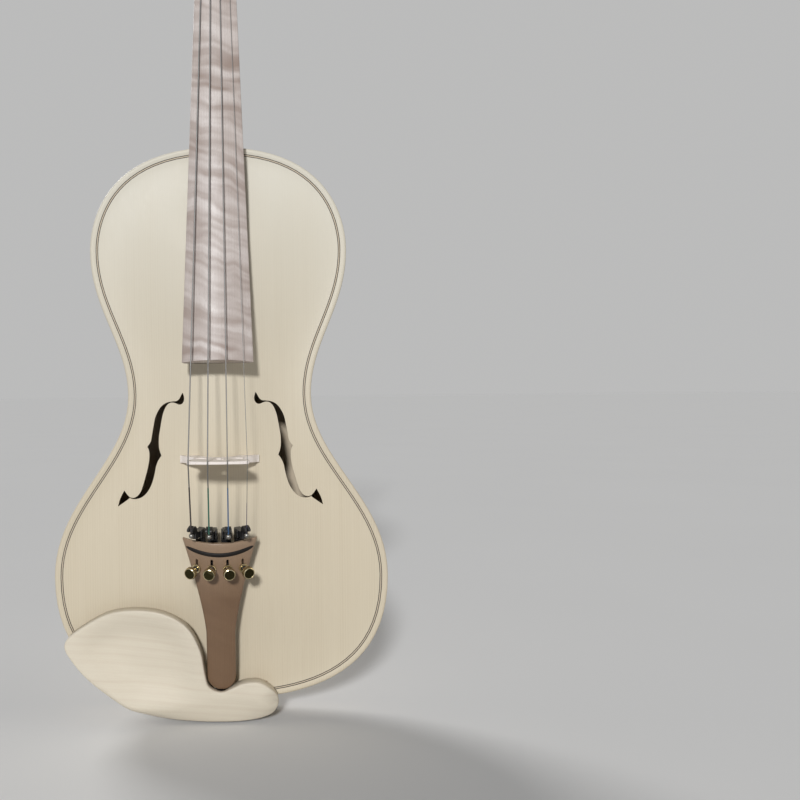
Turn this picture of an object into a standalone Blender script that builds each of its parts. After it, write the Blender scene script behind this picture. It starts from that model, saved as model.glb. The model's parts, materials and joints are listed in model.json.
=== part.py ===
# Cornerless violin: body, neck with scroll, fittings, fine tuners and chin rest.
# Metres, +Z up towards the scroll, the top plate faces -Y, the bass side is -X.
# Heights on a plate are counted outwards from the rim of the ribs.

import bpy
import bmesh
import math
from mathutils import Matrix, Vector
from mathutils.bvhtree import BVHTree

for old in list(bpy.data.objects):
    bpy.data.objects.remove(old, do_unlink=True)

# Body outline: half widths and places along the body, from its bottom edge
BODY_LENGTH = 0.352
UPPER_HALF_WIDTH = 0.0817
UPPER_PLACE = 0.2862
WAIST_HALF_WIDTH = 0.0583
WAIST_PLACE = 0.194
LOWER_HALF_WIDTH = 0.1062
LOWER_PLACE = 0.0785
TOP_HANDLE = 0.0743
UPPER_HANDLE = 0.0162
SHOULDER_HANDLE = 0.0372
WAIST_UP_HANDLE = 0.0332
WAIST_DOWN_HANDLE = 0.0419
LOWER_UP_HANDLE = 0.0484
LOWER_DOWN_HANDLE = 0.0680
BOTTOM_HANDLE = 0.0480
STEPS = 7
FAN_STEPS = 4

# Plates, ribs and the wood inside
RIB_HEIGHT = 0.030
RIB_THICKNESS = 0.0012
OVERHANG = 0.0025
EDGE_THICKNESS = 0.0042
EDGE_DIP = 0.0034
CHANNEL = 0.009
TOP_ARCH = 0.0155
BACK_ARCH = 0.0150
TOP_THICKNESS = 0.0029
BACK_THICKNESS = 0.0036
SPINE_LOW = 0.092
SPINE_HIGH = 0.276
PURFLING_INSET = 0.0038
PURFLING_WIDTH = 0.0015
PURFLING_DEPTH = 0.0018
BUTTON_HALF_WIDTH = 0.0095
BUTTON_HEIGHT = 0.014
LINING_WIDTH = 0.002
LINING_HEIGHT = 0.007
NECK_BLOCK_HALF_WIDTH = 0.027
NECK_BLOCK_DEPTH = 0.015
END_BLOCK_HALF_WIDTH = 0.024
END_BLOCK_DEPTH = 0.012
BAR_PLACE = -0.0165
BAR_WIDTH = 0.0055
BAR_LENGTH = 0.262
BAR_HEIGHT = 0.011
BAR_END_HEIGHT = 0.0035
POST_RADIUS = 0.003
POST_PLACE = 0.0195
POST_BELOW_BRIDGE = 0.006

# Neck, pegbox and scroll
NECK_STOP = 0.130
NECK_SET = 0.006
NECK_OVERSTAND = 0.006
NECK_SLOPE = 0.108
NECK_WIDTH_BODY = 0.0332
NECK_WIDTH_NUT = 0.0236
NECK_DEPTH_BODY = 0.0145
NECK_DEPTH_NUT = 0.0125
HEEL_CURVE = 0.019
NUT_LENGTH = 0.0055
NUT_WIDTH = 0.0242
NUT_RISE = 0.0006
PEGBOX_LEAN = math.radians(12)
PEGBOX_LENGTH = 0.070
PEGBOX_HALF_WIDTH = 0.0128
PEGBOX_TAPER = 0.060
PEGBOX_CHEEK = 0.0048
PEGBOX_OPENING = 0.062
SCROLL_PLACE = 0.088
SCROLL_DEPTH = 0.001
SCROLL_RADIUS = 0.021
SCROLL_TURNS = 2.25
SCROLL_SHRINK = 0.61
SCROLL_STEPS = 16
EYE_HALF_WIDTH = 0.0205

# Fingerboard and strings
BOARD_LENGTH = 0.269
BOARD_WIDTH_NUT = 0.0242
BOARD_WIDTH_END = 0.0445
BOARD_CREST_NUT = 0.006
BOARD_CREST_END = 0.0105
BOARD_RADIUS = 0.042
BRIDGE_PLACE = 0.154
BRIDGE_HEIGHT = 0.033
BRIDGE_FEET = 0.046
BRIDGE_FOOT = 0.0125
BRIDGE_TOP_WIDTH = 0.041
BRIDGE_THICK = 0.0044
BRIDGE_THIN = 0.0016
BRIDGE_SPREAD = 0.035
NUT_SPREAD = 0.0165
STRING_RADII = {"g": 0.00040, "d": 0.00040, "a": 0.00034, "e": 0.00018}
STRING_ORDER = ("g", "d", "a", "e")
BALL_RADIUS = 0.0019
WINDING_TURNS = 2.5
WINDING_PITCH = 0.0013
PEG_PLACES = {"g": 0.016, "e": 0.0285, "d": 0.043, "a": 0.056}
PEG_SIDES = {"g": -1, "d": -1, "a": 1, "e": 1}
PEG_DEPTH = 0.009
PEG_RADIUS = 0.0037
PEG_TAPER = 1 / 30

# Tailpiece and fine tuners
TAIL_LENGTH = 0.097
TAIL_TOP_PLACE = 0.107
TAIL_TOP_HEIGHT = 0.0490
TAIL_SLOPE = 0.205
TAIL_HALF_WIDTH = 0.023
TAIL_END_HALF_WIDTH = 0.009
TAIL_CROWN_RADIUS = 0.032
TAIL_WALL = 0.0040
TAIL_WALL_END = 0.0045
TAIL_FRET_WIDTH = 0.0022
TAIL_FRET_HEIGHT = 0.0016
TUNER_BACK = 0.0185
TUNER_PLACES = {"g": -0.014, "d": -0.0048, "a": 0.0048, "e": 0.014}
TUNER_HOLE_RADIUS = 0.0021
TUNER_COLLAR_RADIUS = 0.0018
TUNER_NUT_RADIUS = 0.0029
TUNER_HEAD_RADIUS = 0.00345
TUNER_SCREW_RADIUS = 0.0011
LEVER_HALF_WIDTH = 0.0019
TAILGUT_RADIUS = 0.0009
SADDLE_HALF_WIDTH = 0.0165
SADDLE_DEPTH = 0.0065
SADDLE_HEIGHT = 0.0070
END_BUTTON_REACH = 0.0135
END_BUTTON_RADIUS = 0.007
END_PIN_RADIUS = 0.0038
END_PIN_LENGTH = 0.015

# Chin rest and its clamp
CHINREST_LIFT = 0.0034
CHINREST_RIM = 0.0105
CHINREST_FLOOR = 0.0052
CLAMP_HALF_SPREAD = 0.0155
CLAMP_OUT = 0.0034
CLAMP_PLATE = 0.0018
STUD_RADIUS = 0.0015
BARREL_RADIUS = 0.0026
BARREL_LENGTH = 0.026
FOOT_CORK = 0.0022

GAP = 0.0003
FINE_GAP = 0.0002

ROOT = bpy.data.objects.new("violin", None)
bpy.context.scene.collection.objects.link(ROOT)
ROOT.location = (0, 0, END_BUTTON_REACH)


# Materials
COLOURS = {
    "spruce": ((0.80, 0.68, 0.52), 0.55, 0),
    "maple": ((0.78, 0.66, 0.52), 0.5, 0),
    "inside": ((0.70, 0.56, 0.40), 0.7, 0),
    "black": ((0.02, 0.02, 0.02), 0.4, 0),
    "board": ((0.42, 0.30, 0.26), 0.4, 0),
    "bridge": ((0.80, 0.66, 0.58), 0.5, 0),
    "string": ((0.55, 0.54, 0.52), 0.3, 1),
    "steel": ((0.6, 0.6, 0.6), 0.25, 1),
    "brass": ((0.72, 0.55, 0.22), 0.25, 1),
    "cork": ((0.50, 0.36, 0.22), 0.9, 0),
    "nylon": ((0.08, 0.08, 0.08), 0.4, 0),
}


def paint(obj, kind):
    colour, roughness, metallic = COLOURS[kind]
    finish = bpy.data.materials.new(obj.name)
    finish.use_nodes = True
    shader = finish.node_tree.nodes["Principled BSDF"]
    shader.inputs["Base Color"].default_value = (*colour, 1)
    shader.inputs["Roughness"].default_value = roughness
    shader.inputs["Metallic"].default_value = metallic
    obj.data.materials.clear()
    obj.data.materials.append(finish)


# Meshes from rings of points
def mix(low, high, share):
    return low + (high - low) * share


def clamp(value, low, high):
    return max(low, min(high, value))


def smoothstep(share):
    share = clamp(share, 0, 1)
    return share * share * (3 - 2 * share)


def skin(name, rings, kind, caps=True, wrap=False):
    bm = bmesh.new()
    rows = [[bm.verts.new(point) for point in ring] for ring in rings]
    count = len(rows[0])
    pairs = list(zip(rows, rows[1:]))
    if wrap:
        pairs.append((rows[-1], rows[0]))
    for first, second in pairs:
        for k in range(count):
            after = (k + 1) % count
            bm.faces.new((first[k], first[after], second[after], second[k]))
    if caps and not wrap:
        bm.faces.new(rows[0][::-1])
        bm.faces.new(rows[-1])
    return finish_mesh(name, bm, kind)


def finish_mesh(name, bm, kind):
    bmesh.ops.remove_doubles(bm, verts=bm.verts, dist=1e-6)
    bmesh.ops.dissolve_degenerate(bm, edges=bm.edges, dist=1e-7)
    bmesh.ops.recalc_face_normals(bm, faces=bm.faces)
    mesh = bpy.data.meshes.new(name)
    bm.to_mesh(mesh)
    bm.free()
    mesh.shade_smooth()
    mesh.set_sharp_from_angle(angle=math.radians(35))
    obj = bpy.data.objects.new(name, mesh)
    bpy.context.scene.collection.objects.link(obj)
    obj.parent = ROOT
    paint(obj, kind)
    return obj


def prism(name, outline, low, high, kind, place):
    rings = [[place(u, v, depth) for u, v in outline] for depth in (low, high)]
    return skin(name, rings, kind)


def turned(name, profile, kind, matrix, sides=16, wrap=False):
    rings = []
    for radius, height in profile:
        ring = []
        for k in range(sides):
            angle = 2 * math.pi * k / sides
            ring.append(matrix @ Vector((radius * math.cos(angle), radius * math.sin(angle), height)))
        rings.append(ring)
    return skin(name, rings, kind, wrap=wrap)


def swept(name, path, radii, kind, sides=6):
    rings = []
    side = None
    for k, point in enumerate(path):
        ahead = path[min(k + 1, len(path) - 1)] - path[max(k - 1, 0)]
        ahead.normalize()
        if side is None:
            side = ahead.orthogonal().normalized()
        side = (side - ahead * side.dot(ahead)).normalized()
        other = ahead.cross(side)
        ring = []
        for j in range(sides):
            angle = 2 * math.pi * j / sides
            ring.append(point + (side * math.cos(angle) + other * math.sin(angle)) * radii[k])
        rings.append(ring)
    return skin(name, rings, kind)


def carve(obj, cutter, operation="DIFFERENCE"):
    tool = obj.modifiers.new("carve", "BOOLEAN")
    tool.operation = operation
    tool.solver = "EXACT"
    tool.object = cutter
    bpy.context.view_layer.update()
    solved = obj.evaluated_get(bpy.context.evaluated_depsgraph_get())
    mesh = bpy.data.meshes.new_from_object(solved)
    obj.modifiers.clear()
    obj.data = mesh
    mesh.name = obj.name
    while len(mesh.materials) > 1:
        mesh.materials.pop()
    for face in mesh.polygons:
        face.material_index = 0
    return obj


def carve_away(obj, cutter, operation="DIFFERENCE"):
    carve(obj, cutter, operation)
    bpy.data.objects.remove(cutter, do_unlink=True)
    return obj


def set_origin(obj, point):
    obj.data.transform(Matrix.Translation(-point))
    obj.location = point
    return obj


# Body outline, from the top centre down the treble side to the bottom centre
def outline_curves():
    top = Vector((0, BODY_LENGTH))
    upper = Vector((UPPER_HALF_WIDTH, UPPER_PLACE))
    waist = Vector((WAIST_HALF_WIDTH, WAIST_PLACE))
    lower = Vector((LOWER_HALF_WIDTH, LOWER_PLACE))
    bottom = Vector((0, 0))
    across = Vector((1, 0))
    along = Vector((0, 1))
    return (
        (top, top + across * TOP_HANDLE, upper + along * UPPER_HANDLE, upper),
        (upper, upper - along * SHOULDER_HANDLE, waist + along * WAIST_UP_HANDLE, waist),
        (waist, waist - along * WAIST_DOWN_HANDLE, lower + along * LOWER_UP_HANDLE, lower),
        (lower, lower - along * LOWER_DOWN_HANDLE, bottom + across * BOTTOM_HANDLE, bottom),
    )


OUTLINE = outline_curves()


def outline_at(station):
    part = min(int(station), 3)
    t = station - part
    a, b, c, d = OUTLINE[part]
    rest = 1 - t
    point = a * rest**3 + b * (3 * rest * rest * t) + c * (3 * rest * t * t) + d * t**3
    slope = (b - a) * (rest * rest) + (c - b) * (2 * rest * t) + (d - c) * (t * t)
    normal = Vector((-slope.y, slope.x)).normalized()
    return point, normal


def inset(station, distance, side=1):
    point, normal = outline_at(station)
    place = point - normal * distance
    return Vector((place.x * side, place.y))


def station_at(x, distance, low, high):
    rising = inset(high, distance).x > inset(low, distance).x
    for _ in range(40):
        middle = (low + high) / 2
        if (inset(middle, distance).x < x) == rising:
            low = middle
        else:
            high = middle
    return (low + high) / 2


def stations(start, end):
    inner = [k / STEPS for k in range(1, 4 * STEPS)]
    return [start] + [s for s in inner if start + 0.001 < s < end - 0.001] + [end]


def chord_inset(station, distance, side=1):
    # ribs are straight between regular stations, so what lies on them follows the same chords
    before = math.floor(station * STEPS + 1e-9) / STEPS
    after = min(before + 1 / STEPS, 4)
    share = 0 if after <= before else (station - before) * STEPS
    start = inset(before, distance, side)
    return start + (inset(after, distance, side) - start) * share


def on_top(x, z, height):
    return Vector((x, -(RIB_HEIGHT / 2 + height), z))


def on_back(x, z, height):
    return Vector((x, RIB_HEIGHT / 2 + height, z))


# Plates: rows of points run round the outline, from the inside to the outside
def arch_height(share, spine_z, arch):
    middle = (SPINE_LOW + SPINE_HIGH) / 2
    reach = (SPINE_HIGH - SPINE_LOW) / 2
    crest = arch - 0.0012 * ((spine_z - middle) / reach) ** 2
    return EDGE_DIP + (crest - EDGE_DIP) * (1 - math.cos(math.pi * share)) / 2


def spine_height(station):
    z = outline_at(station)[0].y
    share = (z - 0.14 * BODY_LENGTH) / (0.72 * BODY_LENGTH)
    return mix(SPINE_LOW, SPINE_HIGH, clamp(share, 0, 1))


def plate_columns():
    angles = [math.pi / 2 * k / FAN_STEPS for k in range(FAN_STEPS + 1)]
    fan = [station_at(BUTTON_HALF_WIDTH * math.sin(angle), 0, 0, 0.9) for angle in angles[1:]]
    half = [0] + fan + stations(fan[-1], 4)[1:]
    angles += [None] * (len(half) - len(angles))
    treble = [(s, 1, a) for s, a in zip(half, angles)]
    bass = [(s, -1, a) for s, a in zip(half, angles)][1:-1]
    return treble + bass[::-1]


def edge_row(distance, height, place, button):
    row = []
    for station, side, angle in plate_columns():
        spot = inset(station, distance, side)
        if button and angle is not None and distance < PURFLING_INSET / 2:
            spot.x = (BUTTON_HALF_WIDTH - distance) * math.sin(angle) * side
            spot.y += BUTTON_HEIGHT * math.cos(angle)
        row.append(place(spot.x, spot.y, height))
    return row


def arch_row(share, place, arch, thickness=0):
    row = []
    for station, side, _ in plate_columns():
        spot = inset(station, CHANNEL, side)
        spine_z = spine_height(station)
        height = arch_height(share, spine_z, arch)
        if thickness:
            height -= thickness + (EDGE_DIP - thickness) * (1 - share) ** 2
        x = mix(spot.x, 0, share)
        z = mix(spot.y, spine_z, share)
        row.append(place(x, z, height))
    return row


def groove_heights():
    outer = mix(EDGE_THICKNESS, EDGE_DIP, 0.45)
    return outer, mix(outer, EDGE_DIP, 0.5), outer - PURFLING_DEPTH


def plate(name, place, arch, thickness, button, kind):
    outer, inner, floor = groove_heights()
    near = PURFLING_INSET - FINE_GAP
    far = PURFLING_INSET + PURFLING_WIDTH + FINE_GAP
    rows = [arch_row(share, place, arch, thickness) for share in (1, 0.6, 0)]
    rows.append(edge_row(0.0009, 0, place, button))
    rows.append(edge_row(0, 0.0009, place, button))
    rows.append(edge_row(0, EDGE_THICKNESS - 0.0010, place, button))
    rows.append(edge_row(0.0012, EDGE_THICKNESS, place, button))
    rows.append(edge_row(near, outer, place, button))
    rows.append(edge_row(near, floor, place, button))
    rows.append(edge_row(far, floor, place, button))
    rows.append(edge_row(far, inner, place, button))
    rows += [arch_row(share, place, arch) for share in (0, 0.25, 0.55, 1)]
    return skin(name, rows, kind, caps=False)


def purfling(name, place):
    outer, inner, floor = groove_heights()
    near = PURFLING_INSET
    far = PURFLING_INSET + PURFLING_WIDTH
    corners = ((near, outer), (near, floor + FINE_GAP), (far, floor + FINE_GAP), (far, inner))
    rows = [edge_row(distance, height, place, False) for distance, height in corners]
    return skin(name, rows, "black", caps=False, wrap=True)


def strip(name, start_x, end_x, near, far, low, high, side, kind):
    start = station_at(start_x, far, 0, 0.9)
    end = station_at(end_x, far, 3.3, 4)
    rings = []
    for station in stations(start, end):
        out = chord_inset(station, near, side)
        into = chord_inset(station, far, side)
        rings.append([
            Vector((out.x, low, out.y)),
            Vector((out.x, high, out.y)),
            Vector((into.x, high, into.y)),
            Vector((into.x, low, into.y)),
        ])
    return skin(name, rings, kind)


def block(name, half_width, depth, low_station, high_station, end):
    near = OVERHANG + RIB_THICKNESS + FINE_GAP
    stop = station_at(half_width, near, low_station, high_station)
    steps = stations(0, stop) if end == "top" else stations(stop, 4)[::-1]
    outer = [chord_inset(s, near) for s in steps]
    outer = [Vector((-p.x, p.y)) for p in outer[:0:-1]] + outer
    away = -1 if end == "top" else 1
    corner = 0.004
    inner_z = outer[len(outer) // 2].y + away * depth
    side_z = outer[-1].y
    inner = [
        Vector((half_width, mix(side_z, inner_z, 0.6))),
        Vector((half_width - corner, inner_z)),
        Vector((-(half_width - corner), inner_z)),
        Vector((-half_width, mix(side_z, inner_z, 0.6))),
    ]
    loop = outer + inner
    half = RIB_HEIGHT / 2
    rings = [[Vector((p.x, y, p.y)) for p in loop] for y in (-half, half)]
    return skin(name, rings, "inside")


def surface_of(obj):
    bm = bmesh.new()
    bm.from_mesh(obj.data)
    tree = BVHTree.FromBMesh(bm)
    bm.free()
    return tree


def first_hit(tree, x, z, direction):
    start = Vector((x, -0.2 * direction, z))
    hit = tree.ray_cast(start, Vector((0, direction, 0)))[0]
    return None if hit is None else hit.y


def inner_hit(tree, x, z, direction):
    hit = tree.ray_cast(Vector((x, 0, z)), Vector((0, direction, 0)))[0]
    return None if hit is None else hit.y


top_plate = plate("top_plate", on_top, TOP_ARCH, TOP_THICKNESS, False, "spruce")
back_plate = plate("back_plate", on_back, BACK_ARCH, BACK_THICKNESS, True, "maple")
TOP_SURFACE = surface_of(top_plate)
BACK_SURFACE = surface_of(back_plate)
purfling_top = purfling("purfling_top", on_top)
purfling_back = purfling("purfling_back", on_back)


def top_height(x, z):
    hit = first_hit(TOP_SURFACE, x, z, 1)
    return EDGE_THICKNESS if hit is None or hit > 0 else -hit - RIB_HEIGHT / 2


half_rib = RIB_HEIGHT / 2
ribs = []
for side, label in ((-1, "bass"), (1, "treble")):
    rib_near = OVERHANG
    rib_far = OVERHANG + RIB_THICKNESS
    rib = strip(label + "_rib", GAP / 2, GAP / 2, rib_near, rib_far, -half_rib, half_rib, side, "maple")
    ribs.append(rib)
    lining_near = rib_far + FINE_GAP
    lining_far = lining_near + LINING_WIDTH
    for level, low, high in (("top", -half_rib, -half_rib + LINING_HEIGHT),
                             ("back", half_rib - LINING_HEIGHT, half_rib)):
        strip(label + "_lining_" + level, NECK_BLOCK_HALF_WIDTH + 2 * GAP, END_BLOCK_HALF_WIDTH + 2 * GAP,
              lining_near, lining_far, low, high, side, "inside")

neck_block = block("neck_block", NECK_BLOCK_HALF_WIDTH, NECK_BLOCK_DEPTH, 0, 0.9, "top")
end_block = block("end_block", END_BLOCK_HALF_WIDTH, END_BLOCK_DEPTH, 4, 3.3, "bottom")


# Sound holes: the bass hole, half distances from the centre and places from the body's top edge
HOLE_POINTS = (
    (-0.0241, 0.1577), (-0.0236, 0.1614), (-0.0257, 0.1652), (-0.0300, 0.1656), (-0.0322, 0.1651),
    (-0.0352, 0.1680), (-0.0365, 0.1725), (-0.0382, 0.1815), (-0.0391, 0.1880), (-0.0388, 0.1938),
    (-0.0377, 0.1975), (-0.0404, 0.2024), (-0.0419, 0.2090), (-0.0443, 0.2167), (-0.0486, 0.2221),
    (-0.0534, 0.2244), (-0.0578, 0.2246), (-0.0600, 0.2272), (-0.0650, 0.2288), (-0.0642, 0.2240),
    (-0.0612, 0.2196), (-0.0587, 0.2226), (-0.0553, 0.2232), (-0.0523, 0.2208), (-0.0493, 0.2155),
    (-0.0469, 0.2072), (-0.0457, 0.1994), (-0.0458, 0.1950), (-0.0469, 0.1920), (-0.0447, 0.1881),
    (-0.0438, 0.1821), (-0.0420, 0.1737), (-0.0382, 0.1672), (-0.0336, 0.1641), (-0.0295, 0.1615),
)


def hole_outline(side):
    return [(x * -side, BODY_LENGTH - z) for x, z in HOLE_POINTS]


for side in (-1, 1):
    hole = prism("hole_cutter", hole_outline(side), 0.002, TOP_ARCH + 0.01, "spruce", on_top)
    carve_away(top_plate, hole)


# Bass bar, fitted under the top, and the sound post between the plates
def bass_bar():
    rings = []
    count = 16
    for k in range(count + 1):
        z = BRIDGE_PLACE + 0.021 + BAR_LENGTH * (k / count - 0.5)
        rise = math.sin(math.pi * k / count) ** 1.3
        depth = mix(BAR_END_HEIGHT, BAR_HEIGHT, rise)
        edges = (BAR_PLACE - BAR_WIDTH / 2, BAR_PLACE + BAR_WIDTH / 2)
        top = [inner_hit(TOP_SURFACE, x, z, -1) + GAP for x in edges]
        low = max(top) + depth
        rings.append([
            Vector((edges[0], top[0], z)), Vector((edges[1], top[1], z)),
            Vector((edges[1], low, z)), Vector((edges[0], low, z)),
        ])
    return skin("bass_bar", rings, "inside")


def sound_post():
    centre_z = BRIDGE_PLACE - POST_BELOW_BRIDGE
    rings = []
    for tree, direction in ((TOP_SURFACE, -1), (BACK_SURFACE, 1)):
        ring = []
        for k in range(12):
            angle = 2 * math.pi * k / 12
            x = POST_PLACE + POST_RADIUS * math.cos(angle)
            z = centre_z + POST_RADIUS * math.sin(angle)
            ring.append(Vector((x, inner_hit(tree, x, z, direction) - GAP * direction, z)))
        rings.append(ring)
    return skin("sound_post", rings, "inside")


bass_bar()
sound_post()


# Neck: the front plane leans away from the body, sections run from the foot to the nut
def neck_front(z):
    edge = -(RIB_HEIGHT / 2 + EDGE_THICKNESS + NECK_OVERSTAND)
    return edge + (z - BODY_LENGTH) * NECK_SLOPE


NUT_PLACE = BODY_LENGTH + NECK_STOP
PEGBOX_START = NUT_PLACE + NUT_LENGTH + GAP


def neck_ring(z, grow=0.0):
    up = z - BODY_LENGTH
    front = neck_front(z) - grow
    width = mix(NECK_WIDTH_BODY, NECK_WIDTH_NUT, clamp(up / NECK_STOP, 0, 1)) / 2 + grow
    slim_back = front + mix(NECK_DEPTH_BODY, NECK_DEPTH_NUT, clamp(up / NECK_STOP, 0, 1))
    tip = BUTTON_HEIGHT - 0.001
    curve = clamp((up - tip) / HEEL_CURVE, 0, 1)
    back = mix(slim_back, RIB_HEIGHT / 2, (1 - curve) ** 2.4)
    button = math.sqrt(max(0.0, 1 - (clamp(up, 0, tip) / BUTTON_HEIGHT) ** 2))
    back_width = (BUTTON_HALF_WIDTH + 0.0002) * button * (1 - curve) + grow
    roundness = smoothstep(curve * 1.25)
    side = []
    for share in (0, 0.25, 0.5, 0.72, 0.89, 1):
        straight = mix(width, back_width, share)
        oval = width * math.sqrt(1 - share**2)
        side.append((mix(straight, oval, roundness), mix(front, back, share)))
    if roundness > 0.999:
        side[-1] = (0.0004, side[-1][1])
    ring = [Vector((x, y, z)) for x, y in side]
    ring += [Vector((-x, y, z)) for x, y in side[::-1]]
    return ring


def neck_body():
    tip = BUTTON_HEIGHT - 0.001
    lifts = [-NECK_SET, 0, 0.005, 0.009, tip - 0.0015, tip]
    lifts += [tip + HEEL_CURVE * k / 5 for k in range(1, 6)]
    lifts += [0.055, 0.085, 0.112, NECK_STOP, NECK_STOP + NUT_LENGTH + 0.0015]
    return skin("neck", [neck_ring(BODY_LENGTH + up) for up in lifts], "board")


# Pegbox and scroll share a frame: a runs up the pegbox, b runs from its front to its back
def head_point(x, a, b):
    lean_a = math.sin(PEGBOX_LEAN)
    lean_b = math.cos(PEGBOX_LEAN)
    y = neck_front(PEGBOX_START) + a * lean_a + b * lean_b
    z = PEGBOX_START + a * lean_b - b * lean_a
    return Vector((x, y, z))


def pegbox_half_width(a):
    return PEGBOX_HALF_WIDTH - PEGBOX_TAPER * a


def head_prism(name, outline, inset_width, kind):
    rings = []
    for side in (-1, 1):
        rings.append([head_point(side * (pegbox_half_width(a) - inset_width), a, b) for a, b in outline])
    return skin(name, rings, kind)


def spiral_radius(turn):
    return SCROLL_RADIUS * math.exp(-SCROLL_SHRINK * turn)


def scroll_half_width(turn):
    start = pegbox_half_width(SCROLL_PLACE) + 0.0002
    narrow = start - 0.0012 * math.sin(math.pi * clamp(turn / 0.5, 0, 1))
    wide = mix(start, EYE_HALF_WIDTH, smoothstep((turn - 0.25) / (SCROLL_TURNS - 0.25)) ** 0.8)
    return max(narrow if turn < 0.5 else 0, wide)


def scroll_body():
    bm = bmesh.new()
    count = int(SCROLL_TURNS * SCROLL_STEPS)
    centre_b = SCROLL_DEPTH
    edge = {}
    floor = {}
    for side in (-1, 1):
        for k in range(count + 1):
            turn = k / SCROLL_STEPS
            angle = 2 * math.pi * turn
            radius = spiral_radius(turn)
            a = SCROLL_PLACE + radius * math.sin(angle)
            b = centre_b + radius * math.cos(angle)
            edge[side, k] = bm.verts.new(head_point(side * scroll_half_width(turn), a, b))
        for k in range(count + 1 - SCROLL_STEPS):
            turn = k / SCROLL_STEPS
            angle = 2 * math.pi * turn
            radius = spiral_radius(turn + 1) + 0.0003
            a = SCROLL_PLACE + radius * math.sin(angle)
            b = centre_b + radius * math.cos(angle)
            step = scroll_half_width(turn) - 0.0006 - 0.0006 * clamp(turn * 2, 0, 1)
            floor[side, k] = bm.verts.new(head_point(side * step, a, b))
    for side in (-1, 1):
        for k in range(count - SCROLL_STEPS):
            bm.faces.new((edge[side, k], edge[side, k + 1], floor[side, k + 1], floor[side, k]))
            bm.faces.new((floor[side, k], floor[side, k + 1],
                          edge[side, k + 1 + SCROLL_STEPS], edge[side, k + SCROLL_STEPS]))
        last = [edge[side, k] for k in range(count - SCROLL_STEPS, count + 1)]
        bm.faces.new(last + [floor[side, count - SCROLL_STEPS]])
    for k in range(SCROLL_STEPS):
        bm.faces.new((edge[-1, k], edge[1, k], edge[1, k + 1], edge[-1, k + 1]))
    n = SCROLL_STEPS
    bm.faces.new((edge[1, 0], floor[1, 0], edge[1, n], edge[-1, n], floor[-1, 0], edge[-1, 0]))
    return finish_mesh("scroll", bm, "board")


PEGBOX_OUTLINE = (
    (0.0, -0.0002), (0.040, 0.0012), (PEGBOX_LENGTH, 0.0020), (0.0765, 0.0075), (0.0800, 0.0125),
    (0.0885, 0.0150), (0.0895, 0.0205), (0.0800, 0.0216), (0.0640, 0.0222), (0.0400, 0.0226),
    (0.0180, 0.0215), (0.0060, 0.0190), (-0.0010, 0.0155), (-0.0060, 0.0122), (-0.0040, 0.0040),
)


def cavity_outline():
    return (
        (0.0045, -0.004), (PEGBOX_OPENING, -0.004), (PEGBOX_OPENING + 0.001, 0.0135),
        (0.040, 0.0168), (0.015, 0.0155), (0.0045, 0.0115),
    )


def peg_matrix(name):
    a = PEG_PLACES[name]
    centre = head_point(0, a, PEG_DEPTH)
    return Matrix.Translation(centre) @ Matrix.Rotation(math.radians(90) * PEG_SIDES[name], 4, "Y")


def peg_radius(name, out):
    # out runs from the middle of the pegbox towards the peg's head
    return PEG_RADIUS + out * PEG_TAPER


neck = neck_body()
carve_away(neck, head_prism("pegbox", PEGBOX_OUTLINE, 0, "board"), "UNION")
carve_away(neck, scroll_body(), "UNION")
carve_away(neck, head_prism("cavity", cavity_outline(), PEGBOX_CHEEK, "board"))

mortise_low = BODY_LENGTH - NECK_SET - GAP
mortise = skin("mortise", [neck_ring(z, GAP) for z in (mortise_low, BODY_LENGTH - 0.0001)], "board")
for vert in mortise.data.vertices:
    vert.co.z = mortise_low if vert.co.z < BODY_LENGTH - 0.001 else BODY_LENGTH + 0.01
    vert.co.y = min(vert.co.y, RIB_HEIGHT / 2 + 0.00005)
for piece in (top_plate, purfling_top, neck_block, *ribs):
    carve(piece, mortise)
bpy.data.objects.remove(mortise, do_unlink=True)

for name in STRING_ORDER:
    reach = pegbox_half_width(PEG_PLACES[name]) + 0.004
    bore = [(peg_radius(name, out) + GAP, out) for out in (-reach, reach)]
    carve_away(neck, turned("bore", bore, "board", peg_matrix(name), sides=12))


# Pegs: tapered shank, collar, slim neck and an oval thumb piece
def peg(name):
    a = PEG_PLACES[name]
    cheek = pegbox_half_width(a)
    matrix = peg_matrix(name)
    collar = cheek + 0.0035
    sections = [
        (-cheek - 0.0004, peg_radius(name, -cheek), 1, 1), (collar - 0.0005, peg_radius(name, collar), 1, 1),
        (collar, 0.0050, 1, 1), (collar + 0.0018, 0.0054, 1, 1), (collar + 0.0034, 0.0040, 1, 1),
        (collar + 0.0055, 0.0033, 1, 1), (collar + 0.0080, 0.0062, 1, 0.55),
        (collar + 0.0115, 0.0103, 1, 0.36), (collar + 0.0165, 0.0118, 1, 0.30),
        (collar + 0.0215, 0.0100, 1, 0.33), (collar + 0.0250, 0.0055, 1, 0.52),
        (collar + 0.0256, 0.0022, 1, 1), (collar + 0.0275, 0.0019, 1, 1),
    ]
    rings = []
    for out, radius, wide, thin in sections:
        ring = []
        for k in range(12):
            angle = 2 * math.pi * k / 12
            spot = Vector((radius * thin * math.cos(angle), radius * wide * math.sin(angle), out))
            ring.append(matrix @ spot)
        rings.append(ring)
    piece = skin("peg_" + name, rings, "black")
    return set_origin(piece, head_point(0, a, PEG_DEPTH))


for name in STRING_ORDER:
    peg(name)


# Fingerboard, nut and bridge
BOARD_END = NUT_PLACE - BOARD_LENGTH
BOARD_NUT_CREST_LINE = neck_front(NUT_PLACE) - BOARD_CREST_NUT
BOARD_END_CREST_LINE = neck_front(BOARD_END) - BOARD_CREST_END
BRIDGE_TOP = -(RIB_HEIGHT / 2 + TOP_ARCH + BRIDGE_HEIGHT)
NUT_TOP = BOARD_NUT_CREST_LINE - NUT_RISE


def board_rise(half_width):
    return BOARD_RADIUS - math.sqrt(BOARD_RADIUS**2 - half_width**2)


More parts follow.
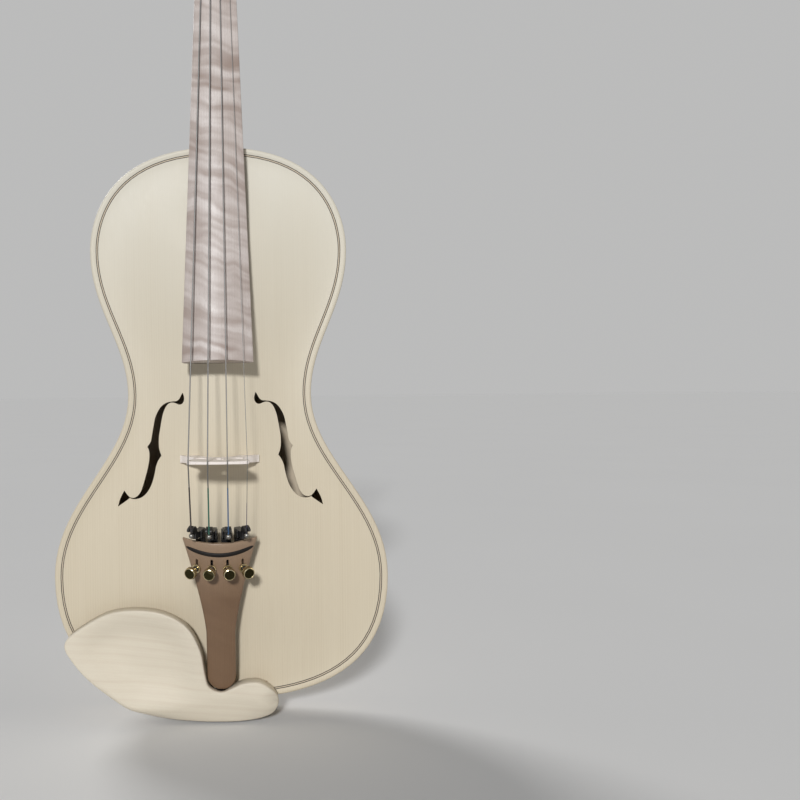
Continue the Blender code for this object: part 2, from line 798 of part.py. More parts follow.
def board_ring(z):
    share = (NUT_PLACE - z) / BOARD_LENGTH
    half = mix(BOARD_WIDTH_NUT, BOARD_WIDTH_END, share) / 2
    crest = mix(BOARD_NUT_CREST_LINE, BOARD_END_CREST_LINE, share)
    under = neck_front(z) - FINE_GAP
    over = clamp((BODY_LENGTH - 0.004 - z) / 0.02, 0, 1)
    scoop = over * 0.0035
    ring = []
    for k in range(7):
        x = half * (k / 3 - 1)
        ring.append(Vector((x, crest + board_rise(abs(x)), z)))
    for k in range(5):
        x = half * 0.86 * (1 - k / 2)
        lift = scoop * (1 - (x / (half * 0.86)) ** 2)
        ring.append(Vector((x if abs(x) < half * 0.8 else math.copysign(half * 0.985, x), under - lift, z)))
    return ring


board_stops = [NUT_PLACE - GAP, NUT_PLACE - 0.045, NUT_PLACE - 0.09, BODY_LENGTH + 0.001]
board_stops += [BODY_LENGTH - 0.006, BODY_LENGTH - 0.03, BODY_LENGTH - 0.06, BODY_LENGTH - 0.1, BOARD_END]
fingerboard = skin("fingerboard", [board_ring(z) for z in board_stops], "board")


def nut():
    half = NUT_WIDTH / 2
    rings = []
    for k in range(9):
        x = half * (k / 4 - 1)
        top = NUT_TOP + board_rise(abs(x))
        base = neck_front(NUT_PLACE) - FINE_GAP
        slope = NECK_SLOPE * NUT_LENGTH
        rings.append([
            Vector((x, base, NUT_PLACE)), Vector((x, top + 0.0002, NUT_PLACE)),
            Vector((x, top, NUT_PLACE + 0.0005)), Vector((x, top + 0.0009, NUT_PLACE + 0.0012)),
            Vector((x, top + 0.0023, NUT_PLACE + 0.0025)), Vector((x, top + 0.0054, NUT_PLACE + NUT_LENGTH)),
            Vector((x, base + slope, NUT_PLACE + NUT_LENGTH)),
        ])
    return skin("nut", rings, "black")


nut()


def bridge_curve(x):
    return BRIDGE_TOP + BOARD_RADIUS - math.sqrt(BOARD_RADIUS**2 - x * x)


def bridge_thickness(y):
    share = clamp((BRIDGE_TOP - y) / -BRIDGE_HEIGHT, 0, 1)
    return mix(BRIDGE_THIN, BRIDGE_THICK, share ** 0.8) / 2


def foot_height(x):
    heights = []
    for across in (-0.0016, 0, 0.0016):
        heights += [top_height(x + across, BRIDGE_PLACE + along) for along in (-0.0022, 0, 0.0022)]
    return -half_rib - max(heights) - FINE_GAP


def bridge():
    half = BRIDGE_FEET / 2
    top_half = BRIDGE_TOP_WIDTH / 2
    inner = half - BRIDGE_FOOT
    toe = foot_height(half)
    arch_y = foot_height(0)
    right = [(x, bridge_curve(x)) for x in (0.004, 0.009, 0.0135, 0.0175, top_half)]
    right += [
        (top_half + 0.0004, bridge_curve(top_half) + 0.0045), (top_half - 0.0030, BRIDGE_TOP + 0.0125),
        (top_half - 0.0035, BRIDGE_TOP + 0.0150), (top_half - 0.0090, BRIDGE_TOP + 0.0155),
        (top_half - 0.0115, BRIDGE_TOP + 0.0180), (top_half - 0.0085, BRIDGE_TOP + 0.0208),
        (top_half - 0.0035, BRIDGE_TOP + 0.0205), (top_half - 0.0028, BRIDGE_TOP + 0.0235),
        (half - 0.0040, toe - 0.0072), (half - 0.0012, toe - 0.0028), (half, toe - 0.0016),
    ]
    right += [(x, foot_height(x)) for x in (mix(half, inner, k / 4) for k in range(5))]
    right += [(inner - 0.0002, foot_height(inner) - 0.0018), (inner - 0.0035, arch_y - 0.0050)]
    right.append((0.0035, arch_y - 0.0075))
    loop = [(0.0, bridge_curve(0))] + right + [(0.0, arch_y - 0.0078)]
    loop += [(-x, y) for x, y in right[::-1]]
    rings = []
    for side in (-1, 1):
        rings.append([Vector((x, y, BRIDGE_PLACE + side * bridge_thickness(y))) for x, y in loop])
    piece = skin("bridge", rings, "bridge")
    heart = []
    for x, drop in ((0, 0.0112), (0.0016, 0.0100), (0.0034, 0.0108), (0.0036, 0.0130), (0.0020, 0.0150),
                    (0.0014, 0.0170), (0, 0.0176)):
        heart.append((x, BRIDGE_TOP + drop))
    heart += [(-x, y) for x, y in heart[-2:0:-1]]
    rings = [[Vector((x, y, z)) for x, y in heart] for z in (BRIDGE_PLACE - 0.01, BRIDGE_PLACE + 0.01)]
    return carve_away(piece, skin("heart", rings, "bridge"))


bridge()


# Saddle and end button
def saddle():
    rings = []
    for k in range(13):
        x = SADDLE_HALF_WIDTH * (k / 6 - 1)
        fall = smoothstep((abs(x) / SADDLE_HALF_WIDTH - 0.45) / 0.55)
        top = mix(SADDLE_HEIGHT, EDGE_THICKNESS, fall)
        section = (
            (0.0003, FINE_GAP), (0, EDGE_THICKNESS * 0.6), (0.0002, top * 0.8), (0.0018, top),
            (0.0042, top), (SADDLE_DEPTH, EDGE_THICKNESS), (SADDLE_DEPTH, FINE_GAP),
        )
        rings.append([on_top(x, z, height) for z, height in section])
    return skin("saddle", rings, "black")


def box(name, low, high):
    corners = [(low[0], low[1]), (high[0], low[1]), (high[0], high[1]), (low[0], high[1])]
    return skin(name, [[Vector((x, y, z)) for x, y in corners] for z in (low[2], high[2])], "black")


saddle()
seat_half = SADDLE_HALF_WIDTH + GAP
seat_top = (seat_half, -half_rib + 0.00005, SADDLE_DEPTH + GAP)
saddle_seat = box("saddle_seat", (-seat_half, -0.03, -0.01), seat_top)
for piece in (top_plate, purfling_top):
    carve(piece, saddle_seat)
bpy.data.objects.remove(saddle_seat, do_unlink=True)

# The saddle and the neck part the purfling of the top into a bass and a treble length
for side, label in ((-1, "bass"), (1, "treble")):
    length = bpy.data.objects.new("purfling_top_" + label, purfling_top.data.copy())
    bpy.context.scene.collection.objects.link(length)
    length.parent = ROOT
    reach = LOWER_HALF_WIDTH * 2
    low = (0 if side < 0 else -reach, -0.1, -0.1)
    high = (reach if side < 0 else 0, 0.1, BODY_LENGTH + 0.1)
    carve_away(length, box("half", low, high))
    paint(length, "black")
bpy.data.objects.remove(purfling_top, do_unlink=True)

BUTTON_NECK_PLACE = -0.0036
END_BUTTON_PROFILE = (
    (END_PIN_RADIUS - 0.0004, OVERHANG + END_PIN_LENGTH), (END_PIN_RADIUS, OVERHANG - FINE_GAP),
    (0.0056, OVERHANG - FINE_GAP), (0.0058, 0.0005), (END_PIN_RADIUS, -0.0020), (END_PIN_RADIUS, -0.0052),
    (END_BUTTON_RADIUS * 0.9, -0.0075), (END_BUTTON_RADIUS, -0.0090), (END_BUTTON_RADIUS, -0.0122),
    (END_BUTTON_RADIUS * 0.8, -END_BUTTON_REACH),
)
turned("end_button", END_BUTTON_PROFILE, "black", Matrix.Identity(4), sides=16)
pin_bore = turned("pin_bore", ((END_PIN_RADIUS - 0.0004 + GAP, OVERHANG + END_PIN_LENGTH + 0.002),
                               (END_PIN_RADIUS + GAP, -0.002)), "black", Matrix.Identity(4), sides=16)
for piece in (end_block, *ribs):
    carve(piece, pin_bore)
bpy.data.objects.remove(pin_bore, do_unlink=True)


# Tailpiece: its face is a slope with a round crown, v runs down from its top edge
def tail_face(x, v):
    return -TAIL_TOP_HEIGHT + TAIL_SLOPE * v + x * x / (2 * TAIL_CROWN_RADIUS)


def tail_half_width(v):
    neck = 0.62 * TAIL_LENGTH
    flare = (1 - clamp(v / neck, 0, 1)) ** 1.35
    half = mix(TAIL_END_HALF_WIDTH, TAIL_HALF_WIDTH, flare)
    tip = TAIL_END_HALF_WIDTH * 0.9
    return half * math.sqrt(1 - clamp((v - TAIL_LENGTH + tip) / tip, 0, 0.985) ** 2)


def tail_wall(v):
    return mix(TAIL_WALL, TAIL_WALL_END, v / TAIL_LENGTH)


def tailpiece():
    rings = []
    for v in (0, 0.010, 0.020, 0.030, 0.040, 0.050, 0.060, 0.074, 0.089, 0.093, 0.0955, TAIL_LENGTH):
        half = tail_half_width(v)
        z = TAIL_TOP_PLACE - v
        ring = [Vector((half * (k / 4 - 1), tail_face(half * (k / 4 - 1), v), z)) for k in range(9)]
        for k in range(7):
            x = half * 0.96 * (1 - k / 3)
            ring.append(Vector((x, tail_face(x, v) + tail_wall(v), z)))
        rings.append(ring)
    return skin("tailpiece", rings, "board")


def tail_fret():
    rings = []
    v_middle = 0.0100
    v_side = 0.0055
    half = tail_half_width(v_side) - 0.0008
    for k in range(13):
        x = half * (k / 6 - 1)
        v = mix(v_middle, v_side, (x / half) ** 2)
        section = ((-0.5, 0), (-0.45, 0.7), (0, 1), (0.45, 0.7), (0.5, 0))
        ring = []
        for across, up in section:
            spot_v = v + across * TAIL_FRET_WIDTH
            y = tail_face(x, spot_v) - FINE_GAP - up * TAIL_FRET_HEIGHT
            ring.append(Vector((x, y, TAIL_TOP_PLACE - spot_v)))
        rings.append(ring)
    return skin("tailpiece_fret", rings, "black")


def tuner_frame_matrix(name):
    x = TUNER_PLACES[name]
    place = Vector((x, tail_face(x, TUNER_BACK), TAIL_TOP_PLACE - TUNER_BACK))
    up = Vector((x / TAIL_CROWN_RADIUS, -1, -TAIL_SLOPE)).normalized()
    along = Vector((0, -TAIL_SLOPE, 1)).normalized()
    across = along.cross(up).normalized()
    matrix = Matrix((across, along, up)).transposed().to_4x4()
    return Matrix.Translation(place) @ matrix


tailpiece_body = tailpiece()
tail_fret()
SLOT_LENGTH = 0.0065
for name in STRING_ORDER:
    at = tuner_frame_matrix(name)
    bore = [(TUNER_HOLE_RADIUS, -0.009), (TUNER_HOLE_RADIUS, 0.004)]
    carve_away(tailpiece_body, turned("bore", bore, "board", at, sides=10))
    slot = [(-0.0008, 0), (0.0008, 0), (0.0008, SLOT_LENGTH), (-0.0008, SLOT_LENGTH)]
    rings = [[at @ Vector((x, t, h)) for x, t in slot] for h in (-0.008, 0.004)]
    carve_away(tailpiece_body, skin("slot", rings, "board"))

# Fine tuners: t runs towards the bridge and h rises from the tailpiece, both from the hole
FRAME_TOP = -0.0048
FRAME_LOW = -0.0061
LEVER_TOP = -0.0080
LEVER_LOW = -0.0092
PIVOT = (TUNER_BACK + 0.0033, -0.0032)
PIVOT_RADIUS = 0.0008
FRAME_HALF_WIDTH = LEVER_HALF_WIDTH + 0.0011
COLLAR_TOP = 0.0023
BALL_PLACE = (TUNER_BACK + 0.0044, 0.0063)


def tuner_prism(name, label, outline, half_width, kind="black"):
    at = tuner_frame_matrix(name)
    rings = [[at @ Vector((x, t, h)) for t, h in outline] for x in (-half_width, half_width)]
    return skin(label, rings, kind)


def tuner_pin(name, label, radius, half_width, sides=10):
    at = tuner_frame_matrix(name) @ Matrix.Translation(Vector((0, *PIVOT)))
    turn = Matrix.Rotation(math.radians(90), 4, "Y")
    return turned(label, [(radius, -half_width), (radius, half_width)], "black", at @ turn, sides)


def tuner_frame(name):
    edge = TUNER_BACK + 0.0005
    front = PIVOT[0] + 0.0024
    outline = ((-0.0032, FRAME_LOW), (front, FRAME_LOW), (front, -0.0012), (edge, -0.0012),
               (edge, FRAME_TOP), (-0.0032, FRAME_TOP))
    frame = tuner_prism(name, "tuner_frame_" + name, outline, FRAME_HALF_WIDTH)
    at = tuner_frame_matrix(name)
    collar = turned("collar", [(TUNER_COLLAR_RADIUS, FRAME_LOW + 0.0002), (TUNER_COLLAR_RADIUS, COLLAR_TOP)],
                    "black", at, 10)
    carve_away(frame, collar, "UNION")
    back = TUNER_BACK - 0.0015
    mouth = ((back, FRAME_LOW - 0.001), (front + 0.001, FRAME_LOW - 0.001), (front + 0.001, 0.001),
             (back, 0.001))
    carve_away(frame, tuner_prism(name, "mouth", mouth, LEVER_HALF_WIDTH + GAP))
    bore_radius = TUNER_SCREW_RADIUS + FINE_GAP
    bore = [(bore_radius, FRAME_LOW - 0.001), (bore_radius, COLLAR_TOP + 0.001)]
    carve_away(frame, turned("bore", bore, "black", at, 10))
    return carve_away(frame, tuner_pin(name, "pivot", PIVOT_RADIUS + FINE_GAP, FRAME_HALF_WIDTH + 0.001))


def tuner_lever(name):
    edge = TUNER_BACK
    outline = (
        (-0.0016, LEVER_TOP), (edge + 0.0014, LEVER_TOP), (edge + 0.0016, 0.0034), (edge + 0.0061, 0.0040),
        (edge + 0.0070, 0.0080), (edge + 0.0090, 0.0080), (edge + 0.0102, 0.0042), (edge + 0.0076, 0.0020),
        (edge + 0.0051, 0.0002), (edge + 0.0051, LEVER_LOW), (-0.0016, LEVER_LOW),
    )
    lever = tuner_prism(name, "tuner_lever_" + name, outline, LEVER_HALF_WIDTH)
    carve_away(lever, tuner_pin(name, "pin", PIVOT_RADIUS, FRAME_HALF_WIDTH), "UNION")
    slit_low = BALL_PLACE[1] - 0.0026
    slit_back = edge + 0.0058
    slit_front = edge + 0.0110
    slit = ((slit_back, slit_low), (slit_front, slit_low), (slit_front, 0.01), (slit_back, 0.01))
    carve_away(lever, tuner_prism(name, "slit", slit, STRING_RADII["g"] + GAP))
    return set_origin(lever, tuner_frame_matrix(name) @ Vector((0, *PIVOT)))


def tuner_turned_pieces(name):
    at = tuner_frame_matrix(name)
    inner = TUNER_COLLAR_RADIUS + FINE_GAP
    nut_low = 0.0003
    nut_high = COLLAR_TOP - 0.0004
    ring = [(inner, nut_low), (TUNER_NUT_RADIUS, nut_low), (TUNER_NUT_RADIUS, nut_high), (inner, nut_high)]
    turned("tuner_nut_" + name, ring, "brass", at, 12, wrap=True)
    head_low = 0.0048
    screw = [(TUNER_SCREW_RADIUS, LEVER_TOP + FINE_GAP), (TUNER_SCREW_RADIUS, head_low),
             (TUNER_HEAD_RADIUS * 0.85, head_low), (TUNER_HEAD_RADIUS, head_low + 0.0005),
             (TUNER_HEAD_RADIUS, head_low + 0.0032), (TUNER_HEAD_RADIUS * 0.82, head_low + 0.0038)]
    piece = turned("tuner_screw_" + name, screw, "brass", at, 12)
    return set_origin(piece, at @ Vector((0, 0, 0)))


for name in STRING_ORDER:
    tuner_frame(name)
    tuner_lever(name)
    tuner_turned_pieces(name)

# Tailgut: up through the tailpiece, over the saddle and round the neck of the end button
GUT_HALF_SPREAD = 0.0034
GUT_HOLE_V = TAIL_LENGTH - 0.009


def tailgut():
    hole_z = TAIL_TOP_PLACE - GUT_HOLE_V
    face = tail_face(GUT_HALF_SPREAD, GUT_HOLE_V)
    over = -(RIB_HEIGHT / 2 + SADDLE_HEIGHT + TAILGUT_RADIUS + FINE_GAP)
    loop_radius = END_PIN_RADIUS + TAILGUT_RADIUS + FINE_GAP
    stops = (
        (face + 0.0005, hole_z), (face + 0.0035, hole_z), (over - 0.0005, hole_z - 0.0008),
        (over, hole_z - 0.003), (over, 0.0042), (over, 0.0012), (over + 0.0012, -0.0006),
        (over + 0.0032, -0.0014), (-RIB_HEIGHT / 2, -0.0018),
    )
    down = [Vector((GUT_HALF_SPREAD, y, z)) for y, z in stops]
    down.append(Vector((GUT_HALF_SPREAD + 0.0008, -0.007, -0.0030)))
    arc = []
    for k in range(9):
        angle = math.pi * k / 8
        arc.append(Vector((loop_radius * math.cos(angle), loop_radius * math.sin(angle), BUTTON_NECK_PLACE)))
    up = [Vector((-p.x, p.y, p.z)) for p in down[::-1]]
    path = down + arc + up
    return swept("tailgut", path, [TAILGUT_RADIUS] * len(path), "nylon", sides=6)


tailgut()
for side in (-1, 1):
    at = Matrix.Translation(Vector((side * GUT_HALF_SPREAD, 0, TAIL_TOP_PLACE - GUT_HOLE_V)))
    at = at @ Matrix.Rotation(math.radians(90), 4, "X")
    bore = [(TAILGUT_RADIUS + GAP, 0.015), (TAILGUT_RADIUS + GAP, 0.040)]
    carve_away(tailpiece_body, turned("bore", bore, "board", at, 12))


# Strings: ball, over the bridge and the nut, then wound on the peg
def string_spread(name, width):
    return width * (STRING_ORDER.index(name) / 3 - 0.5)


def wound_path(name, radius):
    a = PEG_PLACES[name]
    side = PEG_SIDES[name]
    last = WINDING_PITCH * WINDING_TURNS
    x_run = side * min(pegbox_half_width(a) - PEGBOX_CHEEK - radius - 0.0006, last + 0.0012)
    loop_radius = peg_radius(name, abs(x_run)) + radius + 0.00025
    x_nut = string_spread(name, NUT_SPREAD)
    nut_y = NUT_TOP + board_rise(abs(x_nut)) - radius - FINE_GAP
    start = Vector((x_nut, nut_y, NUT_PLACE + 0.0006))
    origin = head_point(0, 0, 0)
    axis_a = (head_point(0, 1, 0) - origin).normalized()
    axis_b = (head_point(0, 0, 1) - origin).normalized()
    start_a = (start - origin).dot(axis_a)
    start_b = (start - origin).dot(axis_b)
    reach = math.hypot(a - start_a, PEG_DEPTH - start_b)
    heading = math.atan2(PEG_DEPTH - start_b, a - start_a) - math.asin(loop_radius / reach)
    run = math.sqrt(reach**2 - loop_radius**2)
    touch_a = start_a + run * math.cos(heading)
    touch_b = start_b + run * math.sin(heading)
    first = math.atan2(touch_b - PEG_DEPTH, touch_a - a)
    coil = []
    for k in range(int(WINDING_TURNS * 24) + 1):
        turn = k / 24
        angle = first + 2 * math.pi * turn
        x = x_run - side * WINDING_PITCH * turn
        around = a + loop_radius * math.cos(angle)
        coil.append(head_point(x, around, PEG_DEPTH + loop_radius * math.sin(angle)))
    return start, coil


def least_gap(points, radius):
    least = 1
    for k, point in enumerate(points):
        for other in points[k + 12:]:
            least = min(least, (point - other).length - 2 * radius)
    return least


def string(name):
    radius = STRING_RADII[name]
    at = tuner_frame_matrix(name)
    ball = at @ Vector((0, *BALL_PLACE))
    x_bridge = string_spread(name, BRIDGE_SPREAD)
    over = Vector((x_bridge, bridge_curve(x_bridge) - radius - FINE_GAP, BRIDGE_PLACE))
    start, coil = wound_path(name, radius)
    ahead = (over - ball).normalized()
    path = [ball + ahead * BALL_RADIUS * share for share in (-1, -0.7, 0, 0.7, 1)]
    radii = [BALL_RADIUS * share for share in (0.3, 0.75, 1, 0.75)]
    path.append(over - ahead * 0.004)
    top = (start - over).normalized()
    path += [over, over + top * 0.004, start - top * 0.002, start]
    path += coil
    radii += [radius] * (len(path) - len(radii))
    print("winding", name, "least gap to itself in mm:", round(least_gap(coil, radius) * 1000, 2))
    return swept("string_" + name, path, radii, "string", sides=6)


for name in STRING_ORDER:
    string(name)


# Smooth closed outline through hand-set points
def smooth_loop(points, steps):
    count = len(points)
    loop = []
    for k in range(count):
        before, here, ahead, beyond = (Vector(points[(k + j) % count]) for j in (-1, 0, 1, 2))
        for step in range(steps):
            t = step / steps
            bend = (ahead - before) / 2
            end_bend = (beyond - here) / 2
            loop.append(here * (2 * t**3 - 3 * t**2 + 1) + bend * (t**3 - 2 * t**2 + t)
                        + ahead * (3 * t**2 - 2 * t**3) + end_bend * (t**3 - t**2))
    return loop


# Chin rest: a dished plate cut out round the tailpiece's end
CHINREST_POINTS = (
    (-0.0980, 0.0395), (-0.0880, 0.0510), (-0.0660, 0.0605), (-0.0430, 0.0610), (-0.0250, 0.0530),
    (-0.0155, 0.0375), (-0.0122, 0.0220), (-0.0085, 0.0110), (-0.0005, 0.0078), (0.0075, 0.0105),
    (0.0135, 0.0175), (0.0230, 0.0185), (0.0310, 0.0120), (0.0335, 0.0040), (0.0290, -0.0045),
    (0.0140, -0.0095), (-0.0100, -0.0098), (-0.0340, -0.0075), (-0.0600, -0.0010), (-0.0800, 0.0125),
    (-0.0930, 0.0270),
)
CHINREST_SPINE = ((-0.064, 0.030), (-0.040, 0.024), (-0.014, 0.001), (0.014, 0.002), (0.022, 0.006))
GUT_ARCH_HEIGHT = 0.0065
GUT_ARCH_WIDTH = 0.0072


def near_spine(spot):
    best = None
    ends = [Vector(point) for point in CHINREST_SPINE]
    for start, end in zip(ends, ends[1:]):
        along = end - start
        share = clamp((spot - start).dot(along) / along.length_squared, 0, 1)
        foot = start + along * share
        if best is None or (spot - foot).length < (spot - best).length:
            best = foot
    return best


def chinrest_under(spot):
    bump = math.exp(-(spot.x / GUT_ARCH_WIDTH) ** 2) * (1 - smoothstep((spot.y - 0.010) / 0.008))
    return top_height(spot.x, spot.y) + CHINREST_LIFT + GUT_ARCH_HEIGHT * bump


def chinrest():
    outline = smooth_loop(CHINREST_POINTS, 2)
    rows = (
        (0.80, None, 0), (None, 0.0016, 0), (None, 0, 0.0022), (None, 0, CHINREST_RIM - 0.0030),
        (None, 0.0016, CHINREST_RIM - 0.0006), (None, 0.0038, CHINREST_RIM),
        (0.40, None, CHINREST_FLOOR + 0.0018), (0.80, None, CHINREST_FLOOR),
    )
    rings = []
    for share, distance, rise in rows:
        ring = []
        for point in outline:
            foot = near_spine(point)
            reach = (foot - point).length
            part = share if share is not None else distance / reach
            spot = point + (foot - point) * part
            base = chinrest_under(spot)
            if part > 0.5:
                base = chinrest_under(foot)
            ring.append(on_top(spot.x, spot.y, base + rise))
        rings.append(ring)
    return skin("chinrest", rings, "maple")


chinrest_body = chinrest()
CHINREST_SURFACE = surface_of(chinrest_body)


def bottom_edge(x):
    return outline_at(station_at(abs(x), 0, 3.3, 4))[0].y


def chinrest_low(x, z):
    return inner_hit(CHINREST_SURFACE, x, z, -1)


def most_near(height, x, z):
    shifts = (-0.0016, 0, 0.0016)
    heights = [height(x + across, z + along) for across in shifts for along in shifts]
    return max(level for level in heights if level is not None)


def chinrest_cork(label, start_x, end_x):
    rings = []
    for k in range(5):
        x = mix(start_x, end_x, k / 4)
        places = [mix(bottom_edge(x) + 0.0014, 0.0115, j / 3) for j in range(4)]
        low = [Vector((x, -half_rib - most_near(top_height, x, z) - GAP, z)) for z in places]
        high = [Vector((x, most_near(chinrest_low, x, z) + GAP, z)) for z in places]
        rings.append(low + high[::-1])
    return skin("chinrest_cork_" + label, rings, "cork")


chinrest_cork("bass", -0.034, -0.0195)
chinrest_cork("treble", 0.0195, 0.0285)

# Clamp: a plate with a stud and a wood screw on each side, a barrel, and a foot over the back's edge
CLAMP_SIDES = {"bass": -1, "treble": 1}
PLATE_IN = 0.0114
PLATE_OUT = 0.0232
PLATE_LOW = -0.0072
PLATE_HIGH = -0.0006
CLAMP_SCREW_PLACE = 0.0202
CLAMP_SCREW_RADIUS = 0.0008
CLAMP_HEAD_RADIUS = 0.0017
STUD_GRIP = 0.007
FOOT_INNER = RIB_HEIGHT / 2 + EDGE_THICKNESS + FOOT_CORK + 2 * GAP


def stud_matrix(x):
    # the local axis runs from the front of the violin to its back
    return Matrix.Translation(Vector((x, 0, -CLAMP_OUT))) @ Matrix.Rotation(math.radians(-90), 4, "X")


def clamp_face(side):
    xs = [side * mix(PLATE_IN, PLATE_OUT, k / 4) for k in range(5)]
    zs = [mix(PLATE_LOW, PLATE_HIGH, k / 3) for k in range(4)]
    return max(chinrest_low(x, z) for x in xs for z in zs) + FINE_GAP


def clamp_plate(label):
    side = CLAMP_SIDES[label]
    face = clamp_face(side)
    back = face + CLAMP_PLATE
    corner = 0.0015
    outline = [
        (PLATE_IN + corner, PLATE_LOW), (PLATE_OUT - corner, PLATE_LOW), (PLATE_OUT, PLATE_LOW + corner),
        (PLATE_OUT, PLATE_HIGH - corner), (PLATE_OUT - corner, PLATE_HIGH), (PLATE_IN + corner, PLATE_HIGH),
        (PLATE_IN, PLATE_HIGH - corner), (PLATE_IN, PLATE_LOW + corner),
    ]
    rings = [[Vector((x * side, y, z)) for x, z in outline] for y in (face, back)]
    piece = skin("clamp_plate_" + label, rings, "steel")
    stud = [(STUD_RADIUS, face + CLAMP_PLATE / 2), (STUD_RADIUS, -BARREL_LENGTH / 2 + STUD_GRIP)]
    carve_away(piece, turned("stud", stud, "steel", stud_matrix(side * CLAMP_HALF_SPREAD), 10), "UNION")
    at = stud_matrix(side * CLAMP_SCREW_PLACE)
    bore_radius = CLAMP_SCREW_RADIUS + GAP
    bore = [(bore_radius, face - 0.001), (bore_radius, back + 0.001)]
    carve_away(piece, turned("bore", bore, "steel", at, 10))
    deep = [(bore_radius, face - 0.0065), (bore_radius, face + 0.002)]
    carve_away(chinrest_body, turned("deep", deep, "maple", at, 10))
    screw = [(CLAMP_SCREW_RADIUS * 0.4, face - 0.0060), (CLAMP_SCREW_RADIUS, face - 0.0045),
             (CLAMP_SCREW_RADIUS, back + FINE_GAP), (CLAMP_HEAD_RADIUS, back + FINE_GAP),
             (CLAMP_HEAD_RADIUS * 0.9, back + 0.0008), (CLAMP_HEAD_RADIUS * 0.5, back + 0.0012)]
    turned("clamp_screw_" + label, screw, "steel", at, 10)


def clamp_barrel(label):
    side = CLAMP_SIDES[label]
    half = BARREL_LENGTH / 2
    inner = STUD_RADIUS + FINE_GAP
    profile = [(inner, -half), (BARREL_RADIUS - 0.0004, -half), (BARREL_RADIUS, -half + 0.0005),
               (BARREL_RADIUS, half - 0.0005), (BARREL_RADIUS - 0.0004, half), (inner, half)]
    at = stud_matrix(side * CLAMP_HALF_SPREAD)
    barrel = turned("clamp_barrel_" + label, profile, "steel", at, 10, wrap=True)
    key = Matrix.Translation(Vector((side * CLAMP_HALF_SPREAD, 0, -CLAMP_OUT)))
    key = key @ Matrix.Rotation(math.radians(90), 4, "Y")
    carve_away(barrel, turned("key", [(0.0008, -0.004), (0.0008, 0.004)], "steel", key, 8))
    return set_origin(barrel, Vector((side * CLAMP_HALF_SPREAD, 0, -CLAMP_OUT)))


FOOT_POINTS = (
    (0.0, -0.0046), (0.0110, -0.0058), (0.0165, -0.0060), (0.0205, -0.0025), (0.0210, 0.0030),
    (0.0185, 0.0075), (0.0130, 0.0092), (0.0075, 0.0072), (0.0035, 0.0040), (0.0, 0.0032),
)


def foot_loop(shrink, floor):
    half = [Vector(point) for point in FOOT_POINTS]
    loop = half + [Vector((-p.x, p.y)) for p in half[-2:0:-1]]
    middle = 0.001
    return [(p.x * shrink, max(middle + (p.y - middle) * shrink, floor)) for p in loop]


def clamp_foot():
    loop = foot_loop(1, -1)
    low = FOOT_INNER
    high = low + CLAMP_PLATE
    foot = skin("clamp_foot", [[Vector((x, y, z)) for x, z in loop] for y in (low, high)], "steel")
    for side in (-1, 1):
        stud = [(STUD_RADIUS, BARREL_LENGTH / 2 - STUD_GRIP), (STUD_RADIUS, low + CLAMP_PLATE / 2)]
        carve_away(foot, turned("stud", stud, "steel", stud_matrix(side * CLAMP_HALF_SPREAD), 10), "UNION")
    return set_origin(foot, Vector((0, low, -CLAMP_OUT)))


def foot_cork():
    loop = foot_loop(0.90, 0.0014)
    low = RIB_HEIGHT / 2 + EDGE_THICKNESS + GAP
    cork = skin("foot_cork", [[Vector((x, y, z)) for x, z in loop] for y in (low, low + FOOT_CORK)], "cork")
    return set_origin(cork, Vector((0, low, -CLAMP_OUT)))


for label in CLAMP_SIDES:
    clamp_plate(label)
    clamp_barrel(label)
clamp_foot()
foot_cork()
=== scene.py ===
import json
import math

import bmesh
import bpy
from mathutils import Matrix, Vector
from mathutils.bvhtree import BVHTree


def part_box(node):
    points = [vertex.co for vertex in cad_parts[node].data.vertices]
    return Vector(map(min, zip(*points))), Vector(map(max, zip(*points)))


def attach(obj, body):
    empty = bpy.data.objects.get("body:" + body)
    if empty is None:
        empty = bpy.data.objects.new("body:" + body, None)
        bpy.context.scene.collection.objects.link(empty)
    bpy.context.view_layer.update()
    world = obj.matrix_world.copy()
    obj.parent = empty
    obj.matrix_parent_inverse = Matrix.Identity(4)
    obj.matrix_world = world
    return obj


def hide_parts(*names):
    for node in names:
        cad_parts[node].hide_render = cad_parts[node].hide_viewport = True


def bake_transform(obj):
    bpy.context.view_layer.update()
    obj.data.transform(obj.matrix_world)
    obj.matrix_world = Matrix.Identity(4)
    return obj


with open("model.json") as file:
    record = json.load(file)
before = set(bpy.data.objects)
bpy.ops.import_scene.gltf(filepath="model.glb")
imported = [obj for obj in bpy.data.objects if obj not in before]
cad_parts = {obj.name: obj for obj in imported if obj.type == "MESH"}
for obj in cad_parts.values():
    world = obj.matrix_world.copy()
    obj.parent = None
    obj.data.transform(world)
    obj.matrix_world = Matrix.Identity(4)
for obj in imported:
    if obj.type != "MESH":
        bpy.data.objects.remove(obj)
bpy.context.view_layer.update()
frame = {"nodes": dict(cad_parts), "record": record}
nodes = frame["nodes"]
print("frame loaded:", len(nodes), "nodes")


# shader helpers and shared effects

def addNode(tree, kind, inputs=None, **settings):
    node = tree.nodes.new(kind)
    for name, value in settings.items():
        setattr(node, name, value)
    for socket, value in (inputs or {}).items():
        if isinstance(value, bpy.types.NodeSocket):
            tree.links.new(value, node.inputs[socket])
        else:
            node.inputs[socket].default_value = value
    return node


def newGroup(name, ins, outs):
    tree = bpy.data.node_groups.new(name, "ShaderNodeTree")
    for label, kind, value in ins:
        socket = tree.interface.new_socket(name=label, in_out="INPUT", socket_type=kind)
        if value is not None:
            socket.default_value = value
    for label, kind in outs:
        tree.interface.new_socket(name=label, in_out="OUTPUT", socket_type=kind)
    return tree, tree.nodes.new("NodeGroupInput"), tree.nodes.new("NodeGroupOutput")


